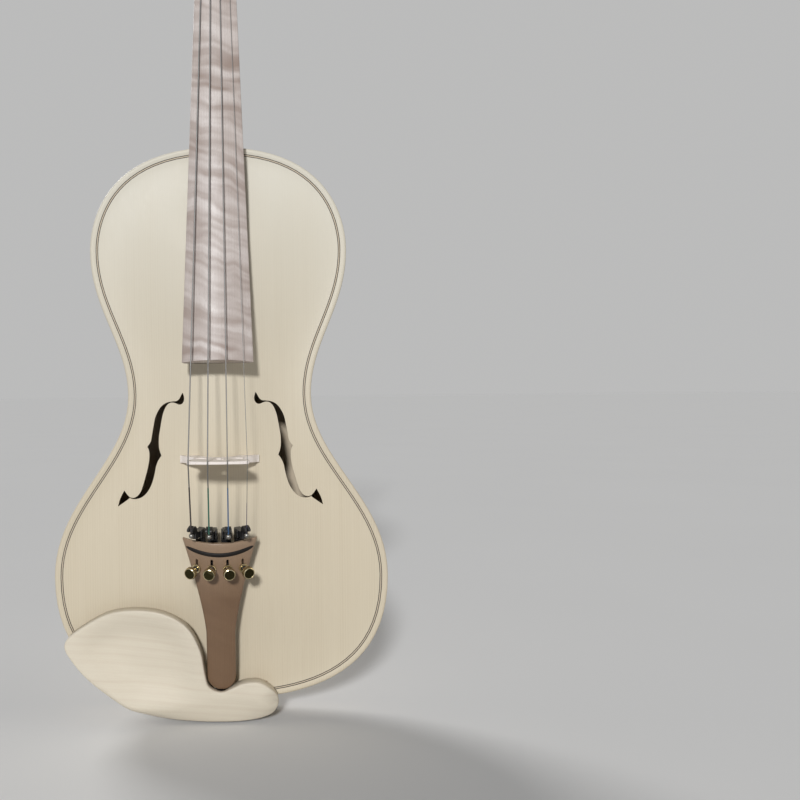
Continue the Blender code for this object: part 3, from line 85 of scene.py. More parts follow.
def mathNode(tree, operation, a, b=0.0, clamp=False):
    node = addNode(tree, "ShaderNodeMath", {0: a, 1: b}, operation=operation)
    node.use_clamp = clamp
    return node.outputs[0]


def stretchedNoise(tree, vector, stretch, detail=3.0, roughness=0.55, distortion=0.0):
    moved = addNode(tree, "ShaderNodeMapping", {"Vector": vector, "Scale": stretch})
    noise = addNode(tree, "ShaderNodeTexNoise", {"Vector": moved.outputs[0], "Scale": 1.0, "Detail": detail,
                                                 "Roughness": roughness, "Distortion": distortion})
    return noise.outputs["Fac"]


def spread(tree, value, low, high, toLow=0.0, toHigh=1.0):
    node = addNode(tree, "ShaderNodeMapRange", {"Value": value, "From Min": low, "From Max": high,
                                                "To Min": toLow, "To Max": toHigh})
    return node.outputs[0]


def makeGrainGroup():
    # lengthwise wood: year lines across X, fibres and pores along Z
    tree, start, end = newGroup("lengthwiseGrain",
                                [("Vector", "NodeSocketVector", None), ("Lines per metre", "NodeSocketFloat", 800.0),
                                 ("Wander", "NodeSocketFloat", 3.0)],
                                [("Lines", "NodeSocketFloat"), ("Fibres", "NodeSocketFloat"),
                                 ("Pores", "NodeSocketFloat"), ("Clouds", "NodeSocketFloat")])
    flat = addNode(tree, "ShaderNodeMapping", {"Vector": start.outputs["Vector"], "Scale": (1.0, 0.35, 0.10)})
    scale = mathNode(tree, "MULTIPLY", start.outputs["Lines per metre"], 0.314)
    bands = addNode(tree, "ShaderNodeTexWave", {"Vector": flat.outputs[0], "Scale": scale,
                                                "Distortion": start.outputs["Wander"], "Detail": 2.0,
                                                "Detail Scale": 0.05, "Detail Roughness": 0.5},
                    wave_type="BANDS", bands_direction="X", wave_profile="SIN")
    patches = spread(tree, stretchedNoise(tree, start.outputs["Vector"], (110.0, 40.0, 2.0), 3.0), 0.36, 0.62, 0.15, 1.0)
    streaks = spread(tree, stretchedNoise(tree, start.outputs["Vector"], (1100.0, 300.0, 5.0), 2.0), 0.42, 0.72)
    lines = mathNode(tree, "MULTIPLY", mathNode(tree, "POWER", bands.outputs["Fac"], 2.2), patches)
    tree.links.new(mathNode(tree, "ADD", mathNode(tree, "MULTIPLY", lines, 0.65),
                            mathNode(tree, "MULTIPLY", streaks, 0.45), clamp=True), end.inputs["Lines"])
    tree.links.new(stretchedNoise(tree, start.outputs["Vector"], (2600.0, 2600.0, 70.0), 4.0), end.inputs["Fibres"])
    pores = stretchedNoise(tree, start.outputs["Vector"], (3800.0, 3800.0, 260.0), 1.0)
    tree.links.new(spread(tree, pores, 0.60, 0.74), end.inputs["Pores"])
    tree.links.new(stretchedNoise(tree, start.outputs["Vector"], (26.0, 26.0, 7.0), 3.0), end.inputs["Clouds"])
    return tree


def makeFlameGroup():
    # the cross figure of maple: uneven bands across the grain that fade in and out
    tree, start, end = newGroup("flameFigure",
                                [("Vector", "NodeSocketVector", None), ("Bands per metre", "NodeSocketFloat", 170.0),
                                 ("Slant", "NodeSocketFloat", 0.10)],
                                [("Flame", "NodeSocketFloat"), ("Broad", "NodeSocketFloat")])
    split = addNode(tree, "ShaderNodeSeparateXYZ", {0: start.outputs["Vector"]})
    slope = mathNode(tree, "MULTIPLY", split.outputs[0], start.outputs["Slant"])
    height = mathNode(tree, "ADD", split.outputs[2], slope)
    wobble = stretchedNoise(tree, start.outputs["Vector"], (38.0, 38.0, 16.0), 2.0)
    height = mathNode(tree, "ADD", height, mathNode(tree, "MULTIPLY", wobble, 0.020))
    along = mathNode(tree, "MULTIPLY", height, start.outputs["Bands per metre"])
    point = addNode(tree, "ShaderNodeCombineXYZ", {0: mathNode(tree, "MULTIPLY", split.outputs[0], 26.0),
                                                   1: mathNode(tree, "MULTIPLY", split.outputs[1], 26.0), 2: along})
    bands = addNode(tree, "ShaderNodeTexNoise", {"Vector": point.outputs[0], "Scale": 1.0, "Detail": 1.5,
                                                 "Roughness": 0.45})
    tree.links.new(spread(tree, bands.outputs["Fac"], 0.36, 0.64), end.inputs["Flame"])
    tree.links.new(stretchedNoise(tree, start.outputs["Vector"], (14.0, 14.0, 30.0), 2.0), end.inputs["Broad"])
    return tree


def makeWearGroup():
    # convex edges come out near 1, flat places near 0, broken up by small spots
    tree, start, end = newGroup("edgeWear", [("Vector", "NodeSocketVector", None)],
                                [("Edge", "NodeSocketFloat"), ("Spots", "NodeSocketFloat")])
    shape = addNode(tree, "ShaderNodeNewGeometry")
    edge = spread(tree, shape.outputs["Pointiness"], 0.515, 0.58)
    spots = stretchedNoise(tree, start.outputs["Vector"], (420.0, 420.0, 420.0), 4.0)
    broken = mathNode(tree, "MULTIPLY", edge, spread(tree, spots, 0.35, 0.65))
    tree.links.new(broken, end.inputs["Edge"])
    tree.links.new(spots, end.inputs["Spots"])
    return tree


grainGroup = makeGrainGroup()
flameGroup = makeFlameGroup()
wearGroup = makeWearGroup()


def startMaterial(name):
    material = bpy.data.materials.new(name)
    material.use_nodes = True
    tree = material.node_tree
    shader = tree.nodes["Principled BSDF"]
    where = addNode(tree, "ShaderNodeTexCoord").outputs["Object"]
    return material, tree, shader, where


def useGroup(tree, group, **inputs):
    node = tree.nodes.new("ShaderNodeGroup")
    node.node_tree = group
    for name, value in inputs.items():
        socket = node.inputs[name.replace("_", " ")]
        if isinstance(value, bpy.types.NodeSocket):
            tree.links.new(value, socket)
        else:
            socket.default_value = value
    return node.outputs


def tint(tree, mask, amount, base, other, blend="MIX"):
    node = addNode(tree, "ShaderNodeMix", data_type="RGBA", blend_type=blend)
    factor = mathNode(tree, "MULTIPLY", mask, amount, clamp=True)
    tree.links.new(factor, node.inputs["Factor"])
    for socket, value in ((node.inputs[6], base), (node.inputs[7], other)):
        if isinstance(value, bpy.types.NodeSocket):
            tree.links.new(value, socket)
        else:
            socket.default_value = (*value, 1.0)
    return node.outputs[2]


def reliefFrom(tree, height, distance, strength, normal=None):
    inputs = {"Height": height, "Distance": distance, "Strength": strength}
    if normal is not None:
        inputs["Normal"] = normal
    return addNode(tree, "ShaderNodeBump", inputs).outputs["Normal"]


def makeWood(name, look):
    material, tree, shader, where = startMaterial(name)
    spot = addNode(tree, "ShaderNodeMapping", {"Vector": where, "Rotation": look.get("turn", (0, 0, 0)),
                                               "Location": look.get("shift", (0, 0, 0))}).outputs[0]
    grain = useGroup(tree, grainGroup, Vector=spot, Lines_per_metre=look["lines"], Wander=look.get("wander", 3.0))
    colour = tint(tree, grain["Lines"], look["lineMix"], look["light"], look["dark"])
    colour = tint(tree, grain["Clouds"], look.get("cloudMix", 0.35), colour, look.get("cloud", look["dark"]))
    height = grain["Fibres"]
    shine = spread(tree, grain["Fibres"], 0.3, 0.7, look["rough"] - 0.06, look["rough"] + 0.08)
    if look.get("flameMix"):
        flame = useGroup(tree, flameGroup, Vector=spot, Bands_per_metre=look["bands"], Slant=look.get("slant", 0.1))
        fade = mathNode(tree, "MULTIPLY", flame["Flame"], spread(tree, flame["Broad"], 0.35, 0.62, look.get("flameFloor", 0.25), 1.0))
        colour = tint(tree, fade, look["flameMix"], colour, look["flame"])
        shine = mathNode(tree, "ADD", shine, mathNode(tree, "MULTIPLY", fade, 0.12))
    fine = spread(tree, grain["Fibres"], 0.32, 0.68)
    colour = tint(tree, fine, look.get("fibreMix", 0.10), colour, look["dark"])
    # painted sheen: towards the upper end the colour is mixed paler, standing in for window light reflected off the
    # surface
    if look.get("paintedSheenEnd"):
        split = addNode(tree, "ShaderNodeSeparateXYZ", {0: where})
        paintedSheenShare = spread(tree, split.outputs[2], *look["paintedSheenFrom"])
        colour = tint(tree, mathNode(tree, "MULTIPLY", paintedSheenShare, spread(tree, grain["Clouds"], 0.2, 0.8, 0.75, 1.0)), 0.80,
                      colour, look["paintedSheenEnd"])
    if look.get("poreMix"):
        colour = tint(tree, grain["Pores"], look["poreMix"], colour, look.get("pore", look["dark"]))
        height = mathNode(tree, "SUBTRACT", height, grain["Pores"])
    tree.links.new(colour, shader.inputs["Base Color"])
    tree.links.new(shine, shader.inputs["Roughness"])
    normal = reliefFrom(tree, height, look.get("depth", 0.00004), look.get("relief", 0.35))
    if look.get("flameMix"):
        normal = reliefFrom(tree, fade, 0.0004, look.get("flameRelief", 0.10), normal)
    tree.links.new(normal, shader.inputs["Normal"])
    shader.inputs["Specular IOR Level"].default_value = look.get("specular", 0.35)
    shader.inputs["Coat Weight"].default_value = look.get("coat", 0.0)
    shader.inputs["Coat Roughness"].default_value = look.get("coatRough", 0.3)
    return material


def makeMetal(name, look):
    material, tree, shader, where = startMaterial(name)
    wear = useGroup(tree, wearGroup, Vector=where)
    colour = tint(tree, wear["Spots"], look.get("spotMix", 0.25), look["colour"], look["tarnish"])
    colour = tint(tree, wear["Edge"], look.get("edgeMix", 0.6), colour, look["bright"])
    tree.links.new(colour, shader.inputs["Base Color"])
    fine = stretchedNoise(tree, where, (900.0, 900.0, 5200.0), 2.0)
    shine = spread(tree, fine, 0.3, 0.7, look["rough"] - 0.05, look["rough"] + 0.10)
    tree.links.new(shine, shader.inputs["Roughness"])
    tree.links.new(reliefFrom(tree, fine, 0.00001, 0.15), shader.inputs["Normal"])
    shader.inputs["Metallic"].default_value = look.get("metal", 1.0)
    shader.inputs["Coat Weight"].default_value = look.get("coat", 0.0)
    return material


# woods, metals and the rest, as a maker would name them

woodLooks = {
    # top plate: its upper part is mixed paler and cooler as a painted sheen of window light
    "topSpruce": {"light": (0.655, 0.580, 0.445), "dark": (0.52, 0.43, 0.30), "cloud": (0.565, 0.485, 0.360),
                  "paintedSheenEnd": (0.665, 0.640, 0.560), "paintedSheenFrom": (0.16, 0.34),
                  "lines": 640.0, "lineMix": 0.38, "wander": 7.0, "rough": 0.48, "relief": 0.25, "fibreMix": 0.10,
                  "cloudMix": 0.45},
    "backMaple": {"light": (0.64, 0.55, 0.42), "dark": (0.50, 0.38, 0.25), "flame": (0.42, 0.31, 0.19),
                  "lines": 420.0, "lineMix": 0.14, "bands": 210.0, "flameMix": 0.42, "rough": 0.42,
                  "poreMix": 0.25, "cloudMix": 0.25},
    "ribMaple": {"light": (0.64, 0.55, 0.42), "dark": (0.50, 0.38, 0.25), "flame": (0.44, 0.33, 0.21),
                 "lines": 300.0, "lineMix": 0.08, "bands": 200.0, "flameMix": 0.40, "rough": 0.44,
                 "turn": (0.0, 0.0, 0.0), "slant": 0.05, "poreMix": 0.2, "cloudMix": 0.25},
    "neckWood": {"light": (0.480, 0.400, 0.355), "dark": (0.34, 0.26, 0.215), "flame": (0.31, 0.225, 0.185),
                 "lines": 500.0, "lineMix": 0.30, "bands": 110.0, "flameMix": 0.60, "rough": 0.56,
                 "poreMix": 0.35, "specular": 0.2, "slant": 0.4, "flameFloor": 0.5},
    "boardWood": {"light": (0.660, 0.600, 0.570), "dark": (0.39, 0.325, 0.290), "flame": (0.265, 0.190, 0.155),
                  "lines": 600.0, "lineMix": 0.28, "bands": 165.0, "flameMix": 0.85, "rough": 0.42,
                  "poreMix": 0.45, "pore": (0.30, 0.235, 0.20), "coat": 0.10, "slant": 0.28, "flameFloor": 0.55},
    # tailpiece: the end near the bridge is mixed paler as a painted sheen; the lower end keeps the darker base colour
    "tailWood": {"light": (0.205, 0.126, 0.074), "dark": (0.125, 0.072, 0.040), "flame": (0.105, 0.058, 0.033),
                 "lines": 700.0, "lineMix": 0.35, "bands": 110.0, "flameMix": 0.45, "rough": 0.34,
                 "poreMix": 0.40, "coat": 0.15, "slant": 0.3, "paintedSheenEnd": (0.34, 0.24, 0.162),
                 "paintedSheenFrom": (0.082, 0.118)},
    "bridgeMaple": {"light": (0.90, 0.84, 0.79), "dark": (0.60, 0.48, 0.40), "turn": (0.0, 1.5708, 0.0),
                    "lines": 900.0, "lineMix": 0.16, "rough": 0.50, "pore": (0.42, 0.27, 0.18), "poreMix": 0.55,
                    "cloudMix": 0.15},
    "restMaple": {"light": (0.690, 0.630, 0.515), "dark": (0.52, 0.42, 0.32), "cloud": (0.70, 0.62, 0.50),
                  "lines": 190.0, "lineMix": 0.34, "wander": 9.0, "rough": 0.52, "turn": (0.0, 1.48, 0.0),
                  "specular": 0.22, "poreMix": 0.10, "fibreMix": 0.06, "cloudMix": 0.3},
    "innerSpruce": {"light": (0.62, 0.50, 0.34), "dark": (0.50, 0.36, 0.21), "lines": 700.0, "lineMix": 0.45,
                    "rough": 0.62},
    "darkHardwood": {"light": (0.030, 0.024, 0.022), "dark": (0.014, 0.011, 0.010), "lines": 900.0, "lineMix": 0.5,
                     "rough": 0.36, "poreMix": 0.4, "coat": 0.12, "fibreMix": 0.3},
    "dullEbony": {"light": (0.016, 0.013, 0.012), "dark": (0.008, 0.007, 0.006), "lines": 900.0, "lineMix": 0.5,
                  "rough": 0.55, "specular": 0.2},
    "purfleDark": {"light": (0.060, 0.052, 0.050), "dark": (0.025, 0.022, 0.021), "lines": 900.0, "lineMix": 0.5,
                   "rough": 0.6},
    "purflePale": {"light": (0.60, 0.52, 0.40), "dark": (0.46, 0.36, 0.24), "lines": 900.0, "lineMix": 0.3,
                   "rough": 0.6},
}
metalLooks = {
    "brass": {"colour": (0.52, 0.42, 0.22), "tarnish": (0.28, 0.235, 0.13), "bright": (0.84, 0.77, 0.58),
              "rough": 0.20},
    "darkFaceBrass": {"colour": (0.050, 0.043, 0.018), "tarnish": (0.028, 0.025, 0.012),
                       "bright": (0.16, 0.14, 0.07), "rough": 0.20},
    "ballMetal": {"colour": (0.26, 0.25, 0.23), "tarnish": (0.16, 0.155, 0.145), "bright": (0.44, 0.43, 0.41),
                  "rough": 0.34},
    "nickel": {"colour": (0.40, 0.41, 0.36), "tarnish": (0.24, 0.26, 0.20), "bright": (0.66, 0.66, 0.61),
               "rough": 0.26},
    "tunerBlack": {"colour": (0.011, 0.011, 0.012), "tarnish": (0.024, 0.023, 0.022), "bright": (0.09, 0.085, 0.08),
                   "rough": 0.34, "metal": 0.0, "coat": 0.1, "edgeMix": 0.35},
    "windingSteel": {"colour": (0.20, 0.195, 0.19), "tarnish": (0.13, 0.125, 0.12), "bright": (0.28, 0.275, 0.27),
                     "rough": 0.46},
    "plainSteel": {"colour": (0.22, 0.215, 0.21), "tarnish": (0.15, 0.145, 0.14), "bright": (0.32, 0.32, 0.31),
                   "rough": 0.46},
}
materials = {name: makeWood(name, look) for name, look in woodLooks.items()}
materials.update({name: makeMetal(name, look) for name, look in metalLooks.items()})


def makeCork():
    material, tree, shader, where = startMaterial("sheetCork")
    cells = addNode(tree, "ShaderNodeTexVoronoi", {"Vector": where, "Scale": 1500.0})
    chips = stretchedNoise(tree, where, (900.0, 900.0, 900.0), 3.0)
    colour = tint(tree, spread(tree, chips, 0.35, 0.62), 0.8, (0.50, 0.34, 0.20), (0.28, 0.17, 0.09))
    colour = tint(tree, cells.outputs["Distance"], 0.4, colour, (0.20, 0.12, 0.06))
    tree.links.new(colour, shader.inputs["Base Color"])
    shader.inputs["Roughness"].default_value = 0.85
    tree.links.new(reliefFrom(tree, chips, 0.0002, 0.5), shader.inputs["Normal"])
    return material


def makeNylon():
    material, tree, shader, where = startMaterial("blackNylon")
    specks = stretchedNoise(tree, where, (600.0, 600.0, 600.0), 3.0)
    colour = tint(tree, specks, 0.5, (0.020, 0.020, 0.021), (0.045, 0.044, 0.043))
    tree.links.new(colour, shader.inputs["Base Color"])
    tree.links.new(spread(tree, specks, 0.3, 0.7, 0.34, 0.46), shader.inputs["Roughness"])
    return material


def makeSilk(name, colour, shade):
    material, tree, shader, where = startMaterial(name)
    split = addNode(tree, "ShaderNodeSeparateXYZ", {0: where})
    wraps = mathNode(tree, "SINE", mathNode(tree, "MULTIPLY", split.outputs[2], 21000.0))
    wraps = spread(tree, wraps, -1.0, 1.0)
    uneven = stretchedNoise(tree, where, (500.0, 500.0, 900.0), 3.0)
    mask = mathNode(tree, "MULTIPLY", wraps, spread(tree, uneven, 0.3, 0.7, 0.3, 1.0))
    tree.links.new(tint(tree, mask, 0.7, colour, shade), shader.inputs["Base Color"])
    shader.inputs["Roughness"].default_value = 0.7
    shader.inputs["Sheen Weight"].default_value = 0.3
    tree.links.new(reliefFrom(tree, wraps, 0.00003, 0.4), shader.inputs["Normal"])
    return material


materials["sheetCork"] = makeCork()
materials["blackNylon"] = makeNylon()
for name, colour, shade in (("brownSilk", (0.040, 0.028, 0.024), (0.015, 0.010, 0.009)),
                            ("greenSilk", (0.020, 0.115, 0.075), (0.008, 0.050, 0.033)),
                            ("blueSilk", (0.045, 0.115, 0.235), (0.018, 0.050, 0.115)),
                            ("darkSilk", (0.045, 0.038, 0.085), (0.018, 0.015, 0.040))):
    materials[name] = makeSilk(name, colour, shade)

slotMaterials = {
    "top_wood": "topSpruce", "body_wood": "backMaple", "inner_wood": "innerSpruce", "purfling_wood": "purfleDark",
    "neck_wood": "neckWood", "board_wood": "boardWood", "bridge_wood": "bridgeMaple", "dark_wood": "darkHardwood",
    "chinrest_wood": "restMaple", "cork": "sheetCork", "string_metal": "windingSteel",
    "tailgut_plastic": "blackNylon", "tuner_black": "tunerBlack", "tuner_brass": "brass", "clamp_metal": "nickel",
}
nodeMaterials = {"bass_rib": "ribMaple", "treble_rib": "ribMaple", "tailpiece": "tailWood"}


def dressNode(name, materialName):
    mesh = nodes[name].data
    mesh.materials.clear()
    mesh.materials.append(materials[materialName])


for row in frame["record"]["subparts"]:
    dressNode(row["node"], nodeMaterials.get(row["node"], slotMaterials[row["material_slot"]]))
print("materials made:", len(materials))


# mesh helpers: pieces are drawn from the bottom edge of the body, then raised by the end button

def mix(low, high, share):
    return low + (high - low) * share


def clamp(value, low, high):
    return max(low, min(high, value))


def smoothStep(share):
    share = clamp(share, 0.0, 1.0)
    return share * share * (3.0 - 2.0 * share)


def openRing(mesh, points, closed=True):
    spots = [mesh.verts.new(point) for point in points]
    pairs = zip(spots, spots[1:] + (spots[:1] if closed else []))
    return spots, [mesh.edges.new(pair) for pair in pairs]


def pullRing(mesh, spots, edges, points):
    grown = bmesh.ops.extrude_edge_only(mesh, edges=edges)["geom"]
    fresh = {item for item in grown if isinstance(item, bmesh.types.BMVert)}
    partner = {}
    for vert in fresh:
        for edge in vert.link_edges:
            other = edge.other_vert(vert)
            if other not in fresh:
                partner[other] = vert
    moved = [partner[spot] for spot in spots]
    for vert, point in zip(moved, points):
        vert.co = point
    pulled = [item for item in grown if isinstance(item, bmesh.types.BMEdge)]
    return moved, [edge for edge in pulled if edge.verts[0] in fresh and edge.verts[1] in fresh]


def loft(rings, caps=True, closed=True, wrap=False):
    mesh = bmesh.new()
    spots, edges = openRing(mesh, rings[0], closed)
    firstEdges = edges
    for ring in rings[1:] + (rings[:1] if wrap else []):
        spots, edges = pullRing(mesh, spots, edges, ring)
    if caps and not wrap:
        for loop in (firstEdges, edges):
            bmesh.ops.contextual_create(mesh, geom=loop)
    return mesh


def turned(profile, place, sides=48):
    mesh = bmesh.new()
    spots, edges = openRing(mesh, [Vector((radius, 0.0, height)) for radius, height in profile], closed=False)
    bmesh.ops.spin(mesh, geom=spots + edges, cent=(0, 0, 0), axis=(0, 0, 1), angle=2 * math.pi,
                   steps=sides, use_merge=True)
    bmesh.ops.remove_doubles(mesh, verts=mesh.verts, dist=1e-6)
    rims = [edge for edge in mesh.edges if edge.is_boundary]
    if rims and profile[0] != profile[-1]:
        bmesh.ops.holes_fill(mesh, edges=rims, sides=0)
    bmesh.ops.transform(mesh, matrix=place, verts=mesh.verts)
    return mesh


def slab(outline, low, high, place):
    # an outline pulled straight through from one depth to the other
    return loft([[place(u, v, depth) for u, v in outline] for depth in (low, high)])


def tube(path, radii, sides=12):
    rings = []
    side = None
    for k, point in enumerate(path):
        ahead = (path[min(k + 1, len(path) - 1)] - path[max(k - 1, 0)]).normalized()
        side = side or ahead.orthogonal().normalized()
        side = (side - ahead * side.dot(ahead)).normalized()
        other = ahead.cross(side)
        ring = []
        for j in range(sides):
            angle = 2 * math.pi * j / sides
            ring.append(point + (side * math.cos(angle) + other * math.sin(angle)) * radii[k])
        rings.append(ring)
    return loft(rings)


def smoothLoop(points, steps, corners=(), closed=True):
    # a flowing line through given points; corners stay crisp
    spots = [Vector(point) for point in points]
    count = len(spots)
    line = []
    for k in range(count if closed else count - 1):
        places = [(k + j) % count if closed else clamp(k + j, 0, count - 1) for j in (-1, 0, 1, 2)]
        before, here, ahead, beyond = (spots[place] for place in places)
        leave = (ahead - before) * (0.0 if places[1] in corners else 0.5)
        arrive = (beyond - here) * (0.0 if places[2] in corners else 0.5)
        for step in range(steps):
            t = step / steps
            line.append(here * (2 * t**3 - 3 * t**2 + 1) + leave * (t**3 - 2 * t**2 + t)
                        + ahead * (3 * t**2 - 2 * t**3) + arrive * (t**3 - t**2))
    if not closed:
        line.append(spots[-1])
    return line


def tidyMesh(mesh):
    bmesh.ops.remove_doubles(mesh, verts=mesh.verts, dist=1e-6)
    bmesh.ops.dissolve_degenerate(mesh, edges=mesh.edges, dist=1e-7)
    bmesh.ops.recalc_face_normals(mesh, faces=mesh.faces)


def rawObject(name, mesh):
    tidyMesh(mesh)
    data = bpy.data.meshes.new(name)
    mesh.to_mesh(data)
    mesh.free()
    obj = bpy.data.objects.new(name, data)
    bpy.context.scene.collection.objects.link(obj)
    return obj


def carve(obj, toolMesh, operation="DIFFERENCE"):
    tool = rawObject("tool", toolMesh)
    step = obj.modifiers.new("carve", "BOOLEAN")
    step.operation = operation
    step.solver = "EXACT"
    step.object = tool
    bpy.context.view_layer.update()
    solved = bpy.data.meshes.new_from_object(obj.evaluated_get(bpy.context.evaluated_depsgraph_get()))
    obj.modifiers.clear()
    obj.data = solved
    bpy.data.objects.remove(tool)
    return obj


def addPiece(name, mesh, material, body="violin", stands=(), sharp=32, bevel=0.0, cuts=(), joins=(), paint=None):
    obj = rawObject(name, mesh)
    for tool in joins:
        carve(obj, tool, "UNION")
    for tool in cuts:
        carve(obj, tool)
    data = obj.data
    data.name = name
    data.transform(Matrix.Translation((0.0, 0.0, bodyLook["endButtonReach"])))
    data.materials.clear()
    names = (material,) if isinstance(material, str) else material
    for label in names:
        data.materials.append(materials[label])
    for face in data.polygons:
        face.material_index = paint(face.center) if paint else 0
    data.shade_smooth()
    data.set_sharp_from_angle(angle=math.radians(sharp))
    if bevel:
        eased = obj.modifiers.new("easedEdges", "BEVEL")
        eased.width = bevel
        eased.segments = 2
        eased.limit_method = "ANGLE"
        eased.angle_limit = math.radians(38)
        eased.harden_normals = False
    if body:
        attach(obj, body)
    if stands:
        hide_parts(*([stands] if isinstance(stands, str) else stands))
    return obj


slotOf = {name: slot for slot, name in slotMaterials.items()}
slotOf.update({"ribMaple": "body_wood", "tailWood": "board_wood", "purflePale": "purfling_wood",
               "plainSteel": "string_metal", "dullEbony": "dark_wood"})


# body: outline, plates, ribs and purfling

bodyLook = {
    "length": 0.352, "upper": (0.0817, 0.2862), "waist": (0.0583, 0.194), "lower": (0.1062, 0.0785),
    "handles": (0.0743, 0.0162, 0.0372, 0.0332, 0.0419, 0.0484, 0.0680, 0.0480),
    "ribHeight": 0.030, "rib": 0.0012, "overhang": 0.0025, "edge": 0.0042, "dip": 0.0034, "channel": 0.009,
    "topArch": 0.0155, "backArch": 0.0150, "topWall": 0.0029, "backWall": 0.0036, "spine": (0.092, 0.276),
    "button": (0.0095, 0.014), "steps": 22, "fan": 9, "endButtonReach": 0.0135,
}
purflingLook = {"inset": 0.0038, "strips": (0.00042, 0.00066, 0.00042), "depth": 0.0009}
halfRib = bodyLook["ribHeight"] / 2
bodyLength = bodyLook["length"]


def outlineCurves():
    corners = [Vector((0.0, bodyLength)), Vector(bodyLook["upper"]), Vector(bodyLook["waist"]),
               Vector(bodyLook["lower"]), Vector((0.0, 0.0))]
    reach = bodyLook["handles"]
    leave = (Vector((reach[0], 0)), Vector((0, -reach[2])), Vector((0, -reach[4])), Vector((0, -reach[6])))
    arrive = (Vector((0, reach[1])), Vector((0, reach[3])), Vector((0, reach[5])), Vector((reach[7], 0)))
    return [(corners[k], corners[k] + leave[k], corners[k + 1] + arrive[k], corners[k + 1]) for k in range(4)]


outline = outlineCurves()


def outlineAt(station):
    part = min(int(station), 3)
    t = station - part
    rest = 1 - t
    a, b, c, d = outline[part]
    point = a * rest**3 + b * (3 * rest * rest * t) + c * (3 * rest * t * t) + d * t**3
    slope = (b - a) * (rest * rest) + (c - b) * (2 * rest * t) + (d - c) * (t * t)
    return point, Vector((-slope.y, slope.x)).normalized()


def insetAt(station, distance, side=1):
    point, normal = outlineAt(station)
    place = point - normal * distance
    return Vector((place.x * side, place.y))


def stationAt(x, distance, low, high):
    rising = insetAt(high, distance).x > insetAt(low, distance).x
    for _ in range(40):
        middle = (low + high) / 2
        if (insetAt(middle, distance).x < x) == rising:
            low = middle
        else:
            high = middle
    return (low + high) / 2


def stationsFrom(start, end):
    steps = bodyLook["steps"]
    inner = [k / steps for k in range(1, 4 * steps)]
    return [start] + [s for s in inner if start + 0.001 < s < end - 0.001] + [end]


def onTop(x, z, height):
    return Vector((x, -(halfRib + height), z))


def onBack(x, z, height):
    return Vector((x, halfRib + height, z))


def archHeight(share, spineZ, arch):
    low, high = bodyLook["spine"]
    crest = arch - 0.0012 * ((spineZ - (low + high) / 2) / ((high - low) / 2)) ** 2
    return bodyLook["dip"] + (crest - bodyLook["dip"]) * (1 - math.cos(math.pi * share)) / 2


def plateColumns():
    fan = bodyLook["fan"]
    angles = [math.pi / 2 * k / fan for k in range(fan + 1)]
    edges = [stationAt(bodyLook["button"][0] * math.sin(angle), 0, 0, 0.9) for angle in angles[1:]]
    half = [0] + edges + stationsFrom(edges[-1], 4)[1:]
    angles += [None] * (len(half) - len(angles))
    treble = [(s, 1, a) for s, a in zip(half, angles)]
    return treble + [(s, -1, a) for s, a in zip(half, angles)][1:-1][::-1]


columns = plateColumns()


def edgeRow(distance, height, place, button=False):
    row = []
    for station, side, angle in columns:
        spot = insetAt(station, distance, side)
        if button and angle is not None and distance < purflingLook["inset"] / 2:
            spot.x = (bodyLook["button"][0] - distance) * math.sin(angle) * side
            spot.y += bodyLook["button"][1] * math.cos(angle)
        row.append(place(spot.x, spot.y, height))
    return row


def archRow(share, place, arch, wall=0.0):
    low, high = bodyLook["spine"]
    row = []
    for station, side, _ in columns:
        spot = insetAt(station, bodyLook["channel"], side)
        along = (outlineAt(station)[0].y - 0.14 * bodyLength) / (0.72 * bodyLength)
        spineZ = mix(low, high, smoothStep(along) * 0.35 + clamp(along, 0, 1) * 0.65)
        height = archHeight(share, spineZ, arch)
        if wall:
            height -= wall + (bodyLook["dip"] - wall) * (1 - share) ** 2
        row.append(place(mix(spot.x, 0, share), mix(spot.y, spineZ, share), height))
    return row


def purflingBed():
    near = purflingLook["inset"]
    far = near + sum(purflingLook["strips"])
    outer = mix(bodyLook["edge"], bodyLook["dip"], 0.45)
    return near, far, outer, mix(outer, bodyLook["dip"], 0.5)


def plateMesh(place, arch, wall, button):
    near, far, outer, inner = purflingBed()
    edge = bodyLook["edge"]
    slack = 0.00003
    rows = [archRow(share, place, arch, wall) for share in (1, 0.8, 0.6, 0.4, 0.2, 0.08, 0)]
    rows += [edgeRow(0.0011 * (1 - math.sin(a)), 0.0011 * (1 - math.cos(a)), place, button)
             for a in (math.pi / 2 * k / 4 for k in range(5))]
    rows += [edgeRow(0.0017 * (1 - math.cos(a)), edge - 0.0015 * (1 - math.sin(a)), place, button)
             for a in (math.pi / 2 * k / 6 for k in range(7))]
    rows.append(edgeRow(0.0027, mix(edge, outer, 0.45), place, button))
    rows.append(edgeRow(near - slack, outer, place))
    rows.append(edgeRow(near - slack, outer - purflingLook["depth"], place))
    rows.append(edgeRow(far + slack, outer - purflingLook["depth"], place))
    rows.append(edgeRow(far + slack, inner, place))
    rows.append(edgeRow(0.0071, mix(inner, bodyLook["dip"], 0.7), place))
    shares = (0, 0.03, 0.07, 0.12, 0.18, 0.25, 0.33, 0.41, 0.5, 0.6, 0.7, 0.8, 0.9, 1)
    rows += [archRow(share, place, arch) for share in shares]
    return loft(rows, caps=False)


def purflingStrip(place, start, end, height):
    floor = height - purflingLook["depth"] + 0.0001
    rows = [edgeRow(start, height, place), edgeRow(start, floor, place), edgeRow(end, floor, place),
            edgeRow(end, height, place)]
    return loft(rows, wrap=True)


